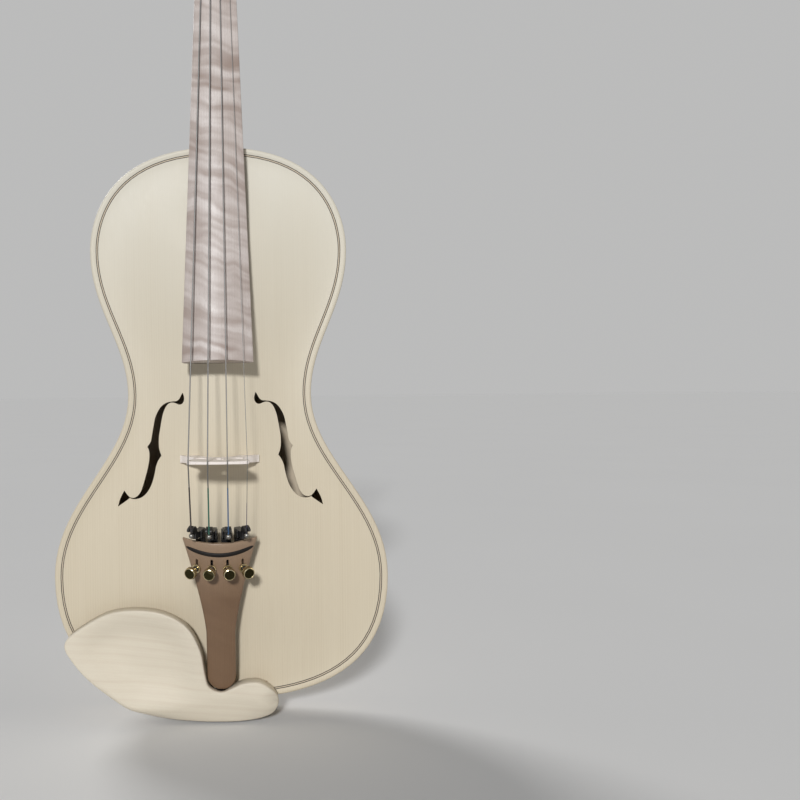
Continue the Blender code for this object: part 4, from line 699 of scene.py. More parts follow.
holeLook = {
    "points": ((-0.0230, 0.1563), (-0.0221, 0.1591), (-0.0222, 0.1616), (-0.0235, 0.1635),
               (-0.0255, 0.1639), (-0.0275, 0.1631), (-0.0296, 0.1626), (-0.0319, 0.1631),
               (-0.0340, 0.1653), (-0.0355, 0.1686), (-0.0366, 0.1726), (-0.0377, 0.1788),
               (-0.0386, 0.1845), (-0.0386, 0.1901), (-0.0379, 0.1935), (-0.0369, 0.1961),
               (-0.0388, 0.1989), (-0.0403, 0.2025), (-0.0415, 0.2082), (-0.0432, 0.2139),
               (-0.0459, 0.2189), (-0.0497, 0.2224), (-0.0534, 0.2236), (-0.0560, 0.2235),
               (-0.0577, 0.2229), (-0.0594, 0.2244), (-0.0652, 0.2284), (-0.0639, 0.2236),
               (-0.0611, 0.2182), (-0.0595, 0.2204), (-0.0577, 0.2223), (-0.0554, 0.2228),
               (-0.0528, 0.2218), (-0.0505, 0.2190), (-0.0490, 0.2151), (-0.0473, 0.2094),
               (-0.0458, 0.2037), (-0.0449, 0.1981), (-0.0450, 0.1935), (-0.0462, 0.1906),
               (-0.0440, 0.1873), (-0.0431, 0.1828), (-0.0422, 0.1777), (-0.0410, 0.1720),
               (-0.0389, 0.1675), (-0.0363, 0.1643), (-0.0331, 0.1625), (-0.0296, 0.1619),
               (-0.0269, 0.1616), (-0.0252, 0.1602), (-0.0240, 0.1580)),
    "corners": (0, 15, 24, 26, 28, 30, 39),
}


def holeTool(side):
    line = smoothLoop(holeLook["points"], 5, holeLook["corners"])
    return slab([(-side * p.x, bodyLength - p.y) for p in line], 0.001, bodyLook["topArch"] + 0.01, onTop)


neckLook = {
    "stop": 0.130, "set": 0.006, "overstand": 0.006, "slope": 0.108, "width": (0.0332, 0.0236),
    "depth": (0.0145, 0.0125), "heel": 0.019, "nutLength": 0.0055,
}


def neckFront(z):
    return -(halfRib + bodyLook["edge"] + neckLook["overstand"]) + (z - bodyLength) * neckLook["slope"]


nutPlace = bodyLength + neckLook["stop"]
pegboxStart = nutPlace + neckLook["nutLength"] + 0.0003


def neckRing(z, grow=0.0):
    up = z - bodyLength
    share = clamp(up / neckLook["stop"], 0, 1)
    front = neckFront(z) - grow
    width = mix(*neckLook["width"], share) / 2 + grow
    slimBack = front + mix(*neckLook["depth"], share)
    buttonHalf, buttonHeight = bodyLook["button"]
    tip = buttonHeight - 0.001
    curve = clamp((up - tip) / neckLook["heel"], 0, 1)
    back = mix(slimBack, halfRib, (1 - curve) ** 2.4)
    button = math.sqrt(max(0.0, 1 - (clamp(up, 0, tip) / buttonHeight) ** 2))
    backWidth = (buttonHalf + 0.0002) * button * (1 - curve) + grow
    roundness = smoothStep(curve * 1.25)
    side = []
    for share in (0, 0.04, 0.12, 0.25, 0.38, 0.5, 0.61, 0.72, 0.81, 0.89, 0.95, 0.985, 1):
        straight = mix(width, backWidth, share)
        side.append((mix(straight, width * math.sqrt(1 - share**2), roundness), mix(front, back, share)))
    if roundness > 0.999:
        side[-1] = (0.0002, side[-1][1])
    return [Vector((x, y, z)) for x, y in side] + [Vector((-x, y, z)) for x, y in side[::-1]]


def mortiseTool():
    low = bodyLength - neckLook["set"] - 0.0002
    rings = []
    for z, height in ((low, low), (bodyLength - 0.0001, bodyLength + 0.01)):
        rings.append([Vector((p.x, min(p.y, halfRib + 0.00005), height)) for p in neckRing(z, 0.00015)])
    return loft(rings)


saddleLook = {"half": 0.0165, "depth": 0.0065, "height": 0.0070}


def saddleSeatTool():
    half = saddleLook["half"] + 0.0002
    deep = saddleLook["depth"] + 0.0002
    corners = [(-half, -0.01), (half, -0.01), (half, deep), (-half, deep)]
    return loft([[Vector((x, y, z)) for x, z in corners] for y in (-0.03, -halfRib + 0.00005)])


def ribMesh(side):
    near, far = bodyLook["overhang"], bodyLook["overhang"] + bodyLook["rib"]
    start = stationAt(0.00012, far, 0, 0.9)
    end = stationAt(0.00012, far, 3.3, 4)
    rings = []
    for station in stationsFrom(start, end):
        out, into = insetAt(station, near, side), insetAt(station, far, side)
        rings.append([Vector((out.x, -halfRib, out.y)), Vector((out.x, halfRib, out.y)),
                      Vector((into.x, halfRib, into.y)), Vector((into.x, -halfRib, into.y))])
    return loft(rings)


def buildBody():
    top = plateMesh(onTop, bodyLook["topArch"], bodyLook["topWall"], False)
    surface = BVHTree.FromBMesh(top)
    addPiece("topPlate", top, "topSpruce", stands="top_plate", sharp=40,
             cuts=[holeTool(-1), holeTool(1), mortiseTool(), saddleSeatTool()])
    back = plateMesh(onBack, bodyLook["backArch"], bodyLook["backWall"], True)
    addPiece("backPlate", back, "backMaple", stands="back_plate", sharp=40)
    for side, label in ((-1, "bass"), (1, "treble")):
        addPiece(label + "Rib", ribMesh(side), "ribMaple", stands=label + "_rib", cuts=[mortiseTool()])
    near, far, outer, inner = purflingBed()
    woods = ("purfleDark", "purflePale", "purfleDark")
    for label, place, stands in (("top", onTop, ("purfling_top_bass", "purfling_top_treble")),
                                 ("back", onBack, ("purfling_back",))):
        distance = near
        for k, width in enumerate(purflingLook["strips"]):
            height = mix(outer, inner, (distance + width / 2 - near) / (far - near))
            cuts = [mortiseTool(), saddleSeatTool()] if label == "top" else []
            addPiece(f"{label}Purfling{k + 1}", purflingStrip(place, distance, distance + width, height), woods[k],
                     stands=stands if k == 0 else (), cuts=cuts, sharp=60)
            distance += width
    return surface


topSurface = buildBody()
print("body done")


def topHeight(x, z):
    hit = topSurface.ray_cast(Vector((x, -0.2, z)), Vector((0, 1, 0)))[0]
    return bodyLook["edge"] if hit is None or hit.y > 0 else -hit.y - halfRib


# neck, pegbox and scroll

headLook = {
    "lean": 12.0, "boxLength": 0.070, "halfWidth": 0.0128, "taper": 0.060, "cheek": 0.0048, "opening": 0.062,
    "scroll": (0.088, 0.001), "radius": 0.02088, "shrink": 0.61, "steps": 48, "eye": 0.0205, "flute": 0.0011,
}


def headPoint(x, a, b):
    # a runs up the pegbox, b from its front to its back
    lean = math.radians(headLook["lean"])
    y = neckFront(pegboxStart) + a * math.sin(lean) + b * math.cos(lean)
    return Vector((x, y, pegboxStart + a * math.cos(lean) - b * math.sin(lean)))


def boxHalfWidth(a):
    return headLook["halfWidth"] - headLook["taper"] * a


def fluting(share):
    return abs(math.sin(math.pi * share)) ** 1.2 + 0.35 * smoothStep((abs(share) - 0.93) / 0.07)


acrossShares = (-1, -0.96, -0.9, -0.75, -0.6, -0.45, -0.3, -0.15, -0.05, 0, 0.05, 0.15, 0.3, 0.45, 0.6, 0.75, 0.9,
                0.96, 1)
boxOutline = ((0.0, -0.0002), (0.020, 0.0004), (0.040, 0.0012), (0.0640, 0.0018), (0.070, 0.0020), (0.0765, 0.0075),
              (0.0800, 0.0125), (0.0885, 0.0150), (0.0895, 0.0218), (0.0800, 0.0221), (0.0640, 0.0225),
              (0.0400, 0.0226), (0.0180, 0.0215), (0.0060, 0.0190), (-0.0010, 0.0155), (-0.0060, 0.0122),
              (-0.0040, 0.0040))


def pegboxMesh():
    line = smoothLoop(boxOutline, 5, (0, 3, 4, 7, 8, 15, 16))
    rings = []
    for share in acrossShares:
        ring = []
        for point in line:
            a, b = point
            back = smoothStep((b - 0.0150) / 0.004) * smoothStep((a + 0.002) / 0.012)
            b -= headLook["flute"] * fluting(share) * back
            ring.append(headPoint(share * boxHalfWidth(a), a, b))
        rings.append(ring)
    return loft(rings)


def cavityTool():
    line = smoothLoop(((0.0045, -0.004), (headLook["opening"], -0.004), (headLook["opening"] + 0.001, 0.0135),
                       (0.040, 0.0168), (0.015, 0.0155), (0.0045, 0.0115)), 5, (0, 1, 2, 5))
    rings = []
    for side in (-1, 1):
        rings.append([headPoint(side * (boxHalfWidth(p.x) - headLook["cheek"]), p.x, p.y) for p in line])
    return loft(rings)


def scrollHalfWidth(turn):
    start = boxHalfWidth(headLook["scroll"][0]) + 0.00006
    narrow = start - 0.0012 * math.sin(math.pi * clamp(turn / 0.5, 0, 1))
    wide = mix(start, headLook["eye"], smoothStep((turn - 0.25) / 2.0) ** 0.8)
    return max(narrow if turn < 0.5 else 0, wide)


def scrollSpot(turn, radius, x):
    angle = 2 * math.pi * turn
    a, b = headLook["scroll"]
    return headPoint(x, a + radius * math.sin(angle), b + radius * math.cos(angle))


def scrollRadius(turn):
    return headLook["radius"] * math.exp(-headLook["shrink"] * turn)


def scrollChain(turn):
    # one cut through all turns: eye side, steps out to the rim, the fluted back, and down again
    half = []
    for level in (2, 1, 0):
        there = turn + level
        edge = scrollHalfWidth(there)
        chamfer = 0.0006
        half.append(scrollSpot(turn, scrollRadius(there) - chamfer, edge))
        if level:
            half.append(scrollSpot(turn, scrollRadius(there), edge - chamfer))
            inner = scrollHalfWidth(there - 1) - 0.0006 - 0.0010 * clamp((there - 1) * 2, 0, 1)
            half.append(scrollSpot(turn, scrollRadius(there) + 0.0004, inner))
    rim = []
    width = scrollHalfWidth(turn)
    fade = 1 - smoothStep((turn - 0.75) / 0.25)
    for share in acrossShares[::-1]:
        radius = scrollRadius(turn) - headLook["flute"] * fluting(share) * fade
        rim.append(scrollSpot(turn, radius - (0.0006 if abs(share) == 1 else 0), share * width))
    outer = half[:-1] + rim
    return outer + [Vector((-p.x, p.y, p.z)) for p in half[:-1]][::-1]


def scrollMesh():
    steps = headLook["steps"]
    mesh = loft([scrollChain(k / steps) for k in range(steps + 1)], caps=False, closed=False)
    bmesh.ops.remove_doubles(mesh, verts=mesh.verts, dist=0.00002)
    bmesh.ops.holes_fill(mesh, edges=[edge for edge in mesh.edges if edge.is_boundary], sides=0)
    return mesh


def neckStem():
    tip = bodyLook["button"][1] - 0.001
    lifts = [-neckLook["set"], -0.001, 0, 0.003, 0.006, 0.008, 0.010, 0.0115, tip]
    lifts += [tip + neckLook["heel"] * k / 12 for k in range(1, 13)]
    lifts += [0.040, 0.052, 0.065, 0.080, 0.095, 0.112, neckLook["stop"], neckLook["stop"] + 0.007]
    return loft([neckRing(bodyLength + up) for up in lifts])


pegLook = {
    "places": {"g": 0.016, "e": 0.0285, "d": 0.043, "a": 0.056}, "sides": {"g": -1, "d": -1, "a": 1, "e": 1},
    "depth": 0.009, "radius": 0.0037, "taper": 1 / 30, "winding": (2.5, 0.0013),
}
stringOrder = ("g", "d", "a", "e")


def pegMatrix(name):
    centre = headPoint(0, pegLook["places"][name], pegLook["depth"])
    return Matrix.Translation(centre) @ Matrix.Rotation(math.radians(90) * pegLook["sides"][name], 4, "Y")


def pegRadius(out):
    return pegLook["radius"] + out * pegLook["taper"]


def pegMesh(name):
    cheek = boxHalfWidth(pegLook["places"][name])
    collar = cheek + 0.0035
    sections = [(-cheek - 0.0012, 0.0016, 1), (-cheek - 0.0010, pegRadius(-cheek) - 0.0005, 1),
                (-cheek - 0.0004, pegRadius(-cheek), 1), (collar - 0.0006, pegRadius(collar), 1),
                (collar - 0.0003, 0.0046, 1), (collar, 0.0050, 1), (collar + 0.0008, 0.0054, 1),
                (collar + 0.0018, 0.0054, 1), (collar + 0.0024, 0.0047, 1)]
    bulb = [(0.0034, 0.0037, 1), (0.0055, 0.0033, 1), (0.0068, 0.0043, 0.80), (0.0080, 0.0062, 0.55),
            (0.0098, 0.0086, 0.42), (0.0115, 0.0103, 0.36), (0.0140, 0.0115, 0.31), (0.0165, 0.0118, 0.30),
            (0.0190, 0.0114, 0.31), (0.0215, 0.0100, 0.33), (0.0235, 0.0078, 0.42), (0.0250, 0.0050, 0.58)]
    line = smoothLoop([Vector(point) for point in bulb], 3, closed=False)
    sections += [(collar + p.x, p.y, p.z) for p in line]
    sections += [(collar + out, radius, 1) for out, radius in ((0.0253, 0.0016), (0.0257, 0.0021), (0.0265, 0.0023),
                                                               (0.0272, 0.0020), (0.0276, 0.0010))]
    place = pegMatrix(name)
    rings = []
    for out, radius, thin in sections:
        ring = []
        for k in range(32):
            angle = 2 * math.pi * k / 32
            ring.append(place @ Vector((radius * thin * math.cos(angle), radius * math.sin(angle), out)))
        rings.append(ring)
    return loft(rings)


def buildNeck():
    bores = []
    for name in stringOrder:
        reach = boxHalfWidth(pegLook["places"][name]) + 0.004
        bore = [(pegRadius(out) + 0.00015, out) for out in (-reach, reach)]
        bores.append(turned(bore, pegMatrix(name), 32))
    addPiece("neckAndScroll", neckStem(), "neckWood", stands="neck", sharp=36,
             joins=[pegboxMesh(), scrollMesh()], cuts=[cavityTool()] + bores)
    for name in stringOrder:
        addPiece(name + "Peg", pegMesh(name), "darkHardwood", body=name + "_peg", stands="peg_" + name, sharp=40)


buildNeck()
print("neck and pegs done")


# fingerboard, nut and bridge

boardLook = {"length": 0.269, "width": (0.0242, 0.0437), "crest": (0.006, 0.0105), "radius": 0.042,
             "ease": 0.0005, "hollow": (0.0014, 0.02)}
bridgeLook = {"place": 0.154, "height": 0.033, "feet": 0.0495, "foot": 0.0135, "top": 0.0365, "thick": 0.0044,
              "thin": 0.0016, "spread": 0.035, "nutSpread": 0.0165}
boardEnd = nutPlace - boardLook["length"]
nutCrest = neckFront(nutPlace) - boardLook["crest"][0]
endCrest = neckFront(boardEnd) - boardLook["crest"][1]
bridgeTop = -(halfRib + bodyLook["topArch"] + bridgeLook["height"])
nutTop = nutCrest - 0.0006


def boardRise(x):
    return boardLook["radius"] - math.sqrt(boardLook["radius"]**2 - x * x)


def boardRing(z, shrink=0.0):
    share = (nutPlace - z) / boardLook["length"]
    half = mix(*boardLook["width"], share) / 2
    crest = mix(nutCrest, endCrest, share) + shrink
    under = neckFront(z) - 0.0001
    scoop = clamp((bodyLength - 0.004 - z) / 0.02, 0, 1) * 0.0035
    ease = boardLook["ease"]
    ring = []
    for k in range(21):
        x = (half - ease - shrink) * (k / 10 - 1)
        ring.append(Vector((x, crest + boardRise(x), z)))
    low = crest + boardRise(half)
    ring += [Vector((half - ease * 0.3 - shrink, low + ease * 0.15, z)), Vector((half - shrink, low + ease, z))]
    ring.append(Vector((half - shrink, under - shrink, z)))
    for k in range(11):
        x = half * 0.84 * (1 - k / 5)
        ring.append(Vector((x, under - shrink - scoop * (1 - (x / (half * 0.84)) ** 2), z)))
    ring.append(Vector((-half + shrink, under - shrink, z)))
    ring += [Vector((-half + shrink, low + ease, z)), Vector((-half + ease * 0.3 + shrink, low + ease * 0.15, z))]
    # the lower end is cut slightly hollow
    depth, reach = boardLook["hollow"]
    bow = depth * clamp((boardEnd + reach - z) / reach, 0, 1)
    return [Vector((p.x, p.y, p.z + bow * (1 - (p.x / half) ** 2))) for p in ring]


def boardMesh():
    stops = [nutPlace - 0.0001, nutPlace - 0.045, nutPlace - 0.09, bodyLength + 0.001, bodyLength - 0.006]
    stops += [bodyLength - 0.012, bodyLength - 0.018, bodyLength - 0.024, bodyLength - 0.06, bodyLength - 0.1]
    stops += [boardEnd + 0.02, boardEnd + 0.01, boardEnd + 0.0008]
    rings = [boardRing(z) for z in stops]
    rings += [boardRing(boardEnd + up, shrink) for up, shrink in ((0.0006, 0.0004), (0.0002, 0.0014), (0, 0.0024))]
    return loft(rings)


def nutMesh():
    half = boardLook["width"][0] / 2
    length = neckLook["nutLength"]
    rings = []
    for k in range(49):
        x = (half - 0.0001) * (k / 24 - 1)
        base = neckFront(nutPlace) - 0.0001
        top = nutTop + boardRise(x)
        for name in stringOrder:
            off = abs(x - stringSpread(name, bridgeLook["nutSpread"]))
            top += 0.00035 * (1 - smoothStep(off / 0.0006))
        rings.append([
            Vector((x, base, nutPlace)), Vector((x, top + 0.0003, nutPlace)), Vector((x, top, nutPlace + 0.0005)),
            Vector((x, top + 0.0009, nutPlace + 0.0012)), Vector((x, top + 0.0023, nutPlace + 0.0025)),
            Vector((x, top + 0.0038, nutPlace + 0.0041)), Vector((x, top + 0.0054, nutPlace + length)),
            Vector((x, base + neckLook["slope"] * length, nutPlace + length))])
    return loft(rings)


def stringSpread(name, width):
    return width * (stringOrder.index(name) / 3 - 0.5)


def bridgeCurve(x):
    return bridgeTop + boardRise(x)


def footHeight(x):
    spots = [topHeight(x, bridgeLook["place"] + along) for along in (-0.0022, 0, 0.0022)]
    return -halfRib - max(spots) - 0.00005


def bridgeMesh():
    half, topHalf = bridgeLook["feet"] / 2, bridgeLook["top"] / 2
    inner = half - bridgeLook["foot"]
    toe = footHeight(half)
    archY = footHeight(0)
    crown = [(topHalf * k / 14, bridgeCurve(topHalf * k / 14)) for k in range(1, 15)]
    flank = [(topHalf, bridgeCurve(topHalf)), (topHalf + 0.0004, bridgeCurve(topHalf) + 0.0030),
             (topHalf - 0.0004, bridgeTop + 0.0105), (topHalf - 0.0026, bridgeTop + 0.0132),
             (topHalf - 0.0034, bridgeTop + 0.0150), (topHalf - 0.0065, bridgeTop + 0.0150),
             (topHalf - 0.0100, bridgeTop + 0.0160), (topHalf - 0.0115, bridgeTop + 0.0182),
             (topHalf - 0.0098, bridgeTop + 0.0204), (topHalf - 0.0066, bridgeTop + 0.0210),
             (topHalf - 0.0034, bridgeTop + 0.0204), (topHalf - 0.0026, bridgeTop + 0.0235),
             (half - 0.0040, toe - 0.0072), (half - 0.0014, toe - 0.0028), (half, toe - 0.0014), (half, toe)]
    side = smoothLoop(flank, 4, (0, 4, 10, 14, 15), closed=False)
    sole = [(x, footHeight(x)) for x in (mix(half, inner, k / 10) for k in range(1, 11))]
    vault = smoothLoop([(inner, footHeight(inner)), (inner - 0.0002, footHeight(inner) - 0.0016),
                        (inner - 0.0035, archY - 0.0050), (0.0040, archY - 0.0074), (0.0, archY - 0.0080),
                        (-0.0040, archY - 0.0074)], 5, (0, 1), closed=False)
    vault = [p for p in vault[1:] if p.x > 0.0003]
    right = crown[:-1] + [(p.x, p.y) for p in side] + sole[:-1] + [(inner, footHeight(inner))]
    right += [(p.x, p.y) for p in vault]
    line = [(0.0, bridgeCurve(0))] + right + [(0.0, archY - 0.0080)] + [(-x, y) for x, y in right[::-1]]

    def thickness(y):
        share = (y - bridgeTop) / bridgeLook["height"]
        return mix(bridgeLook["thin"], bridgeLook["thick"], share) / 2
    rings = []
    for side in (-1, 1):
        rings.append([Vector((x, y, bridgeLook["place"] + side * thickness(y))) for x, y in line])
    return loft(rings)


def heartTool():
    half = [(0, 0.0112), (0.0016, 0.0100), (0.0034, 0.0108), (0.0036, 0.0130), (0.0020, 0.0150), (0.0014, 0.0172),
            (0, 0.0180)]
    points = half + [(-x, y) for x, y in half[-2:0:-1]]
    line = smoothLoop(points, 4, (0, 6))
    return slab([(p.x, bridgeTop + p.y) for p in line], -0.01, 0.01,
                lambda x, y, depth: Vector((x, y, bridgeLook["place"] + depth)))


addPiece("fingerboard", boardMesh(), "boardWood", stands="fingerboard", sharp=50)
addPiece("nut", nutMesh(), "darkHardwood", stands="nut", sharp=40)
addPiece("bridge", bridgeMesh(), "bridgeMaple", stands="bridge", sharp=35, bevel=0.00022, cuts=[heartTool()])
print("fingerboard, nut and bridge done")


# saddle, end button, tailpiece and gut

buttonLook = {"radius": 0.007, "pin": 0.0038, "pinLength": 0.015, "neckPlace": -0.0036}
tailLook = {
    "length": 0.097, "topPlace": 0.107, "topHeight": 0.0490, "slope": 0.205, "half": 0.023, "endHalf": 0.009,
    "crown": 0.032, "wall": (0.0040, 0.0045), "sag": (0.0028, 0.0095), "fret": (0.0026, 0.0013), "gutSpread": 0.0034, "gutHole": 0.009,
    "gut": 0.0009,
}


def saddleMesh():
    rings = []
    for k in range(49):
        x = (saddleLook["half"] - 0.0001) * (k / 24 - 1)
        fall = smoothStep((abs(x) / saddleLook["half"] - 0.45) / 0.55)
        top = mix(saddleLook["height"], bodyLook["edge"], fall)
        edge = bodyLook["edge"]
        section = ((0.0003, 0.0001), (0.00005, edge * 0.35), (0, edge * 0.7), (0.0003, top * 0.86),
                   (0.0009, top * 0.95), (0.0018, top), (0.0030, top + 0.0001 * (1 - fall)), (0.0042, top),
                   (0.0054, mix(top, edge, 0.4)), (saddleLook["depth"], edge), (saddleLook["depth"], 0.0001))
        rings.append([onTop(x, z, height) for z, height in section])
    return loft(rings)


def buttonMesh():
    radius, pin = buttonLook["radius"], buttonLook["pin"]
    over = bodyLook["overhang"]
    bead = [(pin, -0.0052), (radius * 0.80, -0.0064), (radius * 0.97, -0.0080), (radius, -0.0100),
            (radius * 0.97, -0.0120), (radius * 0.86, -0.0132), (radius * 0.55, -0.0135)]
    line = smoothLoop([Vector((r, z, 0)) for r, z in bead], 4, closed=False)
    profile = [(0, over + buttonLook["pinLength"]), (pin - 0.0004, over + buttonLook["pinLength"]),
               (pin, over - 0.0002), (0.0056, over - 0.0002), (0.0059, 0.0016), (0.0058, 0.0004),
               (0.0050, -0.0008), (pin + 0.0003, -0.0017), (pin, -0.0026)]
    profile += [(p.x, p.y) for p in line]
    profile += [(radius * 0.5, -0.0132), (0.0011, -0.0130), (0.0009, -0.0124), (0, -0.0123)]
    return turned(profile, Matrix.Identity(4), 64)


def tailFace(x, v):
    return -tailLook["topHeight"] + tailLook["slope"] * v + x * x / (2 * tailLook["crown"])


def tailHalf(v):
    flare = (1 - clamp(v / (0.62 * tailLook["length"]), 0, 1)) ** 1.35
    half = mix(tailLook["endHalf"], tailLook["half"], flare)
    tip = tailLook["endHalf"] * 0.9
    return half * math.sqrt(1 - clamp((v - tailLook["length"] + tip) / tip, 0, 0.985) ** 2)


def tailRing(v, shrink=0.0):
    half = tailHalf(v) - shrink
    z = tailLook["topPlace"] - v
    wall = mix(*tailLook["wall"], v / tailLook["length"])
    depth, reach = tailLook["sag"]
    sag = depth * clamp(1 - v / reach, 0, 1)
    ring = []
    for k in range(25):
        share = k / 12 - 1
        x = half * math.copysign(1 - (1 - abs(share)) ** 1.25, share)
        edge = 0.0007 * smoothStep((abs(share) - 0.90) / 0.10)
        low = sag * (1 - (x / half) ** 2)
        ring.append(Vector((x, tailFace(x, v + low) + edge + shrink, z - low)))
    for k in range(17):
        x = half * (1 - k / 8)
        belly = 0.0010 * (x / half) ** 4 if half > 0 else 0
        low = sag * (1 - (x / half) ** 2)
        ring.append(Vector((x, tailFace(x, v + low) + wall - belly - shrink, z - low)))
    return ring


def tailpieceMesh():
    length = tailLook["length"]
    stops = [0.0003, 0.0008, 0.004] + [0.004 + 0.080 * k / 26 for k in range(1, 27)]
    stops += [length - 0.0115, length - 0.009, length - 0.0065, length - 0.0045, length - 0.0030, length - 0.0018,
              length - 0.0009, length - 0.0003]
    rings = [tailRing(0, 0.0006)] + [tailRing(stops[0], 0.0002)] + [tailRing(v) for v in stops[1:]]
    rings.append(tailRing(length, 0.0006))
    return loft(rings)


def fretMesh():
    rings = []
    half = tailHalf(0.0055) - 0.0007
    for k in range(49):
        x = half * (k / 24 - 1)
        v = mix(0.0100, 0.0055, (x / half) ** 2)
        taper = math.sqrt(max(0.02, 1 - (x / half) ** 8))
        ring = []
        for step in range(9):
            angle = math.pi * step / 8
            spotV = v - 0.5 * tailLook["fret"][0] * math.cos(angle) * taper
            y = tailFace(x, spotV) - tailLook["fret"][1] * 0.55 * math.sin(angle) * taper
            ring.append(Vector((x, y, tailLook["topPlace"] - spotV)))
        ring.append(Vector((x, tailFace(x, v) + 0.0002, tailLook["topPlace"] - v)))
        rings.append(ring)
    return loft(rings)


tunerLook = {
    "back": 0.0185, "places": {"g": -0.014, "d": -0.0048, "a": 0.0048, "e": 0.014}, "hole": 0.0021,
    "collar": 0.0018, "nut": 0.0029, "head": 0.0037, "screw": 0.0011, "lever": 0.0019, "frameTop": -0.0048,
    "frameLow": -0.0061, "leverTop": -0.0080, "leverLow": -0.0092, "pivot": 0.0008, "collarTop": 0.0023,
}
pivotPlace = (tunerLook["back"] + 0.0033, -0.0032)
ballPlace = (tunerLook["back"] + 0.0044, 0.0063)


def tunerMatrix(name):
    x = tunerLook["places"][name]
    place = Vector((x, tailFace(x, tunerLook["back"]), tailLook["topPlace"] - tunerLook["back"]))
    up = Vector((x / tailLook["crown"], -1, -tailLook["slope"])).normalized()
    along = Vector((0, -tailLook["slope"], 1)).normalized()
    across = along.cross(up).normalized()
    return Matrix.Translation(place) @ Matrix((across, along, up)).transposed().to_4x4()


def tunerSlab(name, line, half):
    at = tunerMatrix(name)
    return slab([tuple(p) for p in line], -half, half, lambda t, h, x: at @ Vector((x, t, h)))


def tunerPin(name, radius, half):
    at = tunerMatrix(name) @ Matrix.Translation(Vector((0, *pivotPlace)))
    return turned([(radius, -half), (radius, half)], at @ Matrix.Rotation(math.radians(90), 4, "Y"), 24)


def keyholeTools(name):
    at = tunerMatrix(name)
    hole = turned([(tunerLook["hole"], -0.009), (tunerLook["hole"], 0.004)], at, 28)
    half = 0.0008
    line = [(-half, 0), (half, 0)]
    line += [(half * math.cos(math.pi * k / 8), 0.0050 + half * math.sin(math.pi * k / 8)) for k in range(9)]
    return [hole, slab(line, -0.008, 0.004, lambda x, t, h: at @ Vector((x, t, h)))]


def gutHoleTool(side):
    at = Matrix.Translation((side * tailLook["gutSpread"], 0, tailLook["topPlace"] - tailLook["length"]
                             + tailLook["gutHole"]))
    at = at @ Matrix.Rotation(math.radians(90), 4, "X")
    radius = tailLook["gut"] + 0.0003
    face = -tailFace(tailLook["gutSpread"], tailLook["length"] - tailLook["gutHole"])
    return turned([(radius, 0.015), (radius, face - 0.0012)], at, 24)


def frameMesh(name):
    edge = tunerLook["back"] + 0.0005
    front = pivotPlace[0] + 0.0024
    low, top = tunerLook["frameLow"], tunerLook["frameTop"]
    line = smoothLoop([(-0.0032, low), (front - 0.0012, low), (front, low + 0.0012), (front, -0.0024),
                       (front - 0.0010, -0.0012), (edge, -0.0012), (edge, top), (-0.0032, top)], 3,
                      (0, 1, 4, 5, 6, 7))
    return tunerSlab(name, line, tunerLook["lever"] + 0.0011)


def frameJoins(name):
    return [turned([(tunerLook["collar"], tunerLook["frameLow"] + 0.0002),
                    (tunerLook["collar"], tunerLook["collarTop"])], tunerMatrix(name), 28)]


def frameCuts(name):
    low = tunerLook["frameLow"] - 0.001
    back, front = tunerLook["back"] - 0.0015, pivotPlace[0] + 0.0034
    mouth = tunerSlab(name, [(back, low), (front, low), (front, 0.001), (back, 0.001)], tunerLook["lever"] + 0.0003)
    bore = tunerLook["screw"] + 0.00015
    shaft = turned([(bore, low), (bore, tunerLook["collarTop"] + 0.001)], tunerMatrix(name), 24)
    return [mouth, shaft, tunerPin(name, tunerLook["pivot"] + 0.0001, tunerLook["lever"] + 0.003)]


def leverMesh(name):
    edge = tunerLook["back"]
    top, low = tunerLook["leverTop"], tunerLook["leverLow"]
    line = smoothLoop([(-0.0016, top), (edge + 0.0006, top), (edge + 0.0014, top + 0.0010), (edge + 0.0016, 0.0030),
                       (edge + 0.0022, 0.0039), (edge + 0.0058, 0.0041), (edge + 0.0068, 0.0060),
                       (edge + 0.0072, 0.0079), (edge + 0.0082, 0.0085), (edge + 0.0092, 0.0078),
                       (edge + 0.0102, 0.0046), (edge + 0.0086, 0.0026), (edge + 0.0053, 0.0008),
                       (edge + 0.0051, low + 0.0010), (edge + 0.0043, low), (-0.0016, low)], 3,
                      (0, 1, 5, 13, 14, 15))
    return tunerSlab(name, line, tunerLook["lever"])


def leverCuts(name, radius):
    low = ballPlace[1] - 0.0026
    back, front = tunerLook["back"] + 0.0058, tunerLook["back"] + 0.0115
    return [tunerSlab(name, [(back, low), (front, low), (front, 0.01), (back, 0.01)], radius + 0.0003)]


def knurled(profile, teeth, depth, place):
    # profile rows are radius, height and how deep the knurl is there
    rings = []
    for radius, height, share in profile:
        ring = []
        for k in range(teeth * 4):
            angle = 2 * math.pi * k / (teeth * 4)
            dent = depth * share * (0.0, 0.6, 1.0, 0.6)[k % 4]
            ring.append(place @ Vector(((radius - dent) * math.cos(angle), (radius - dent) * math.sin(angle), height)))
        rings.append(ring)
    return rings


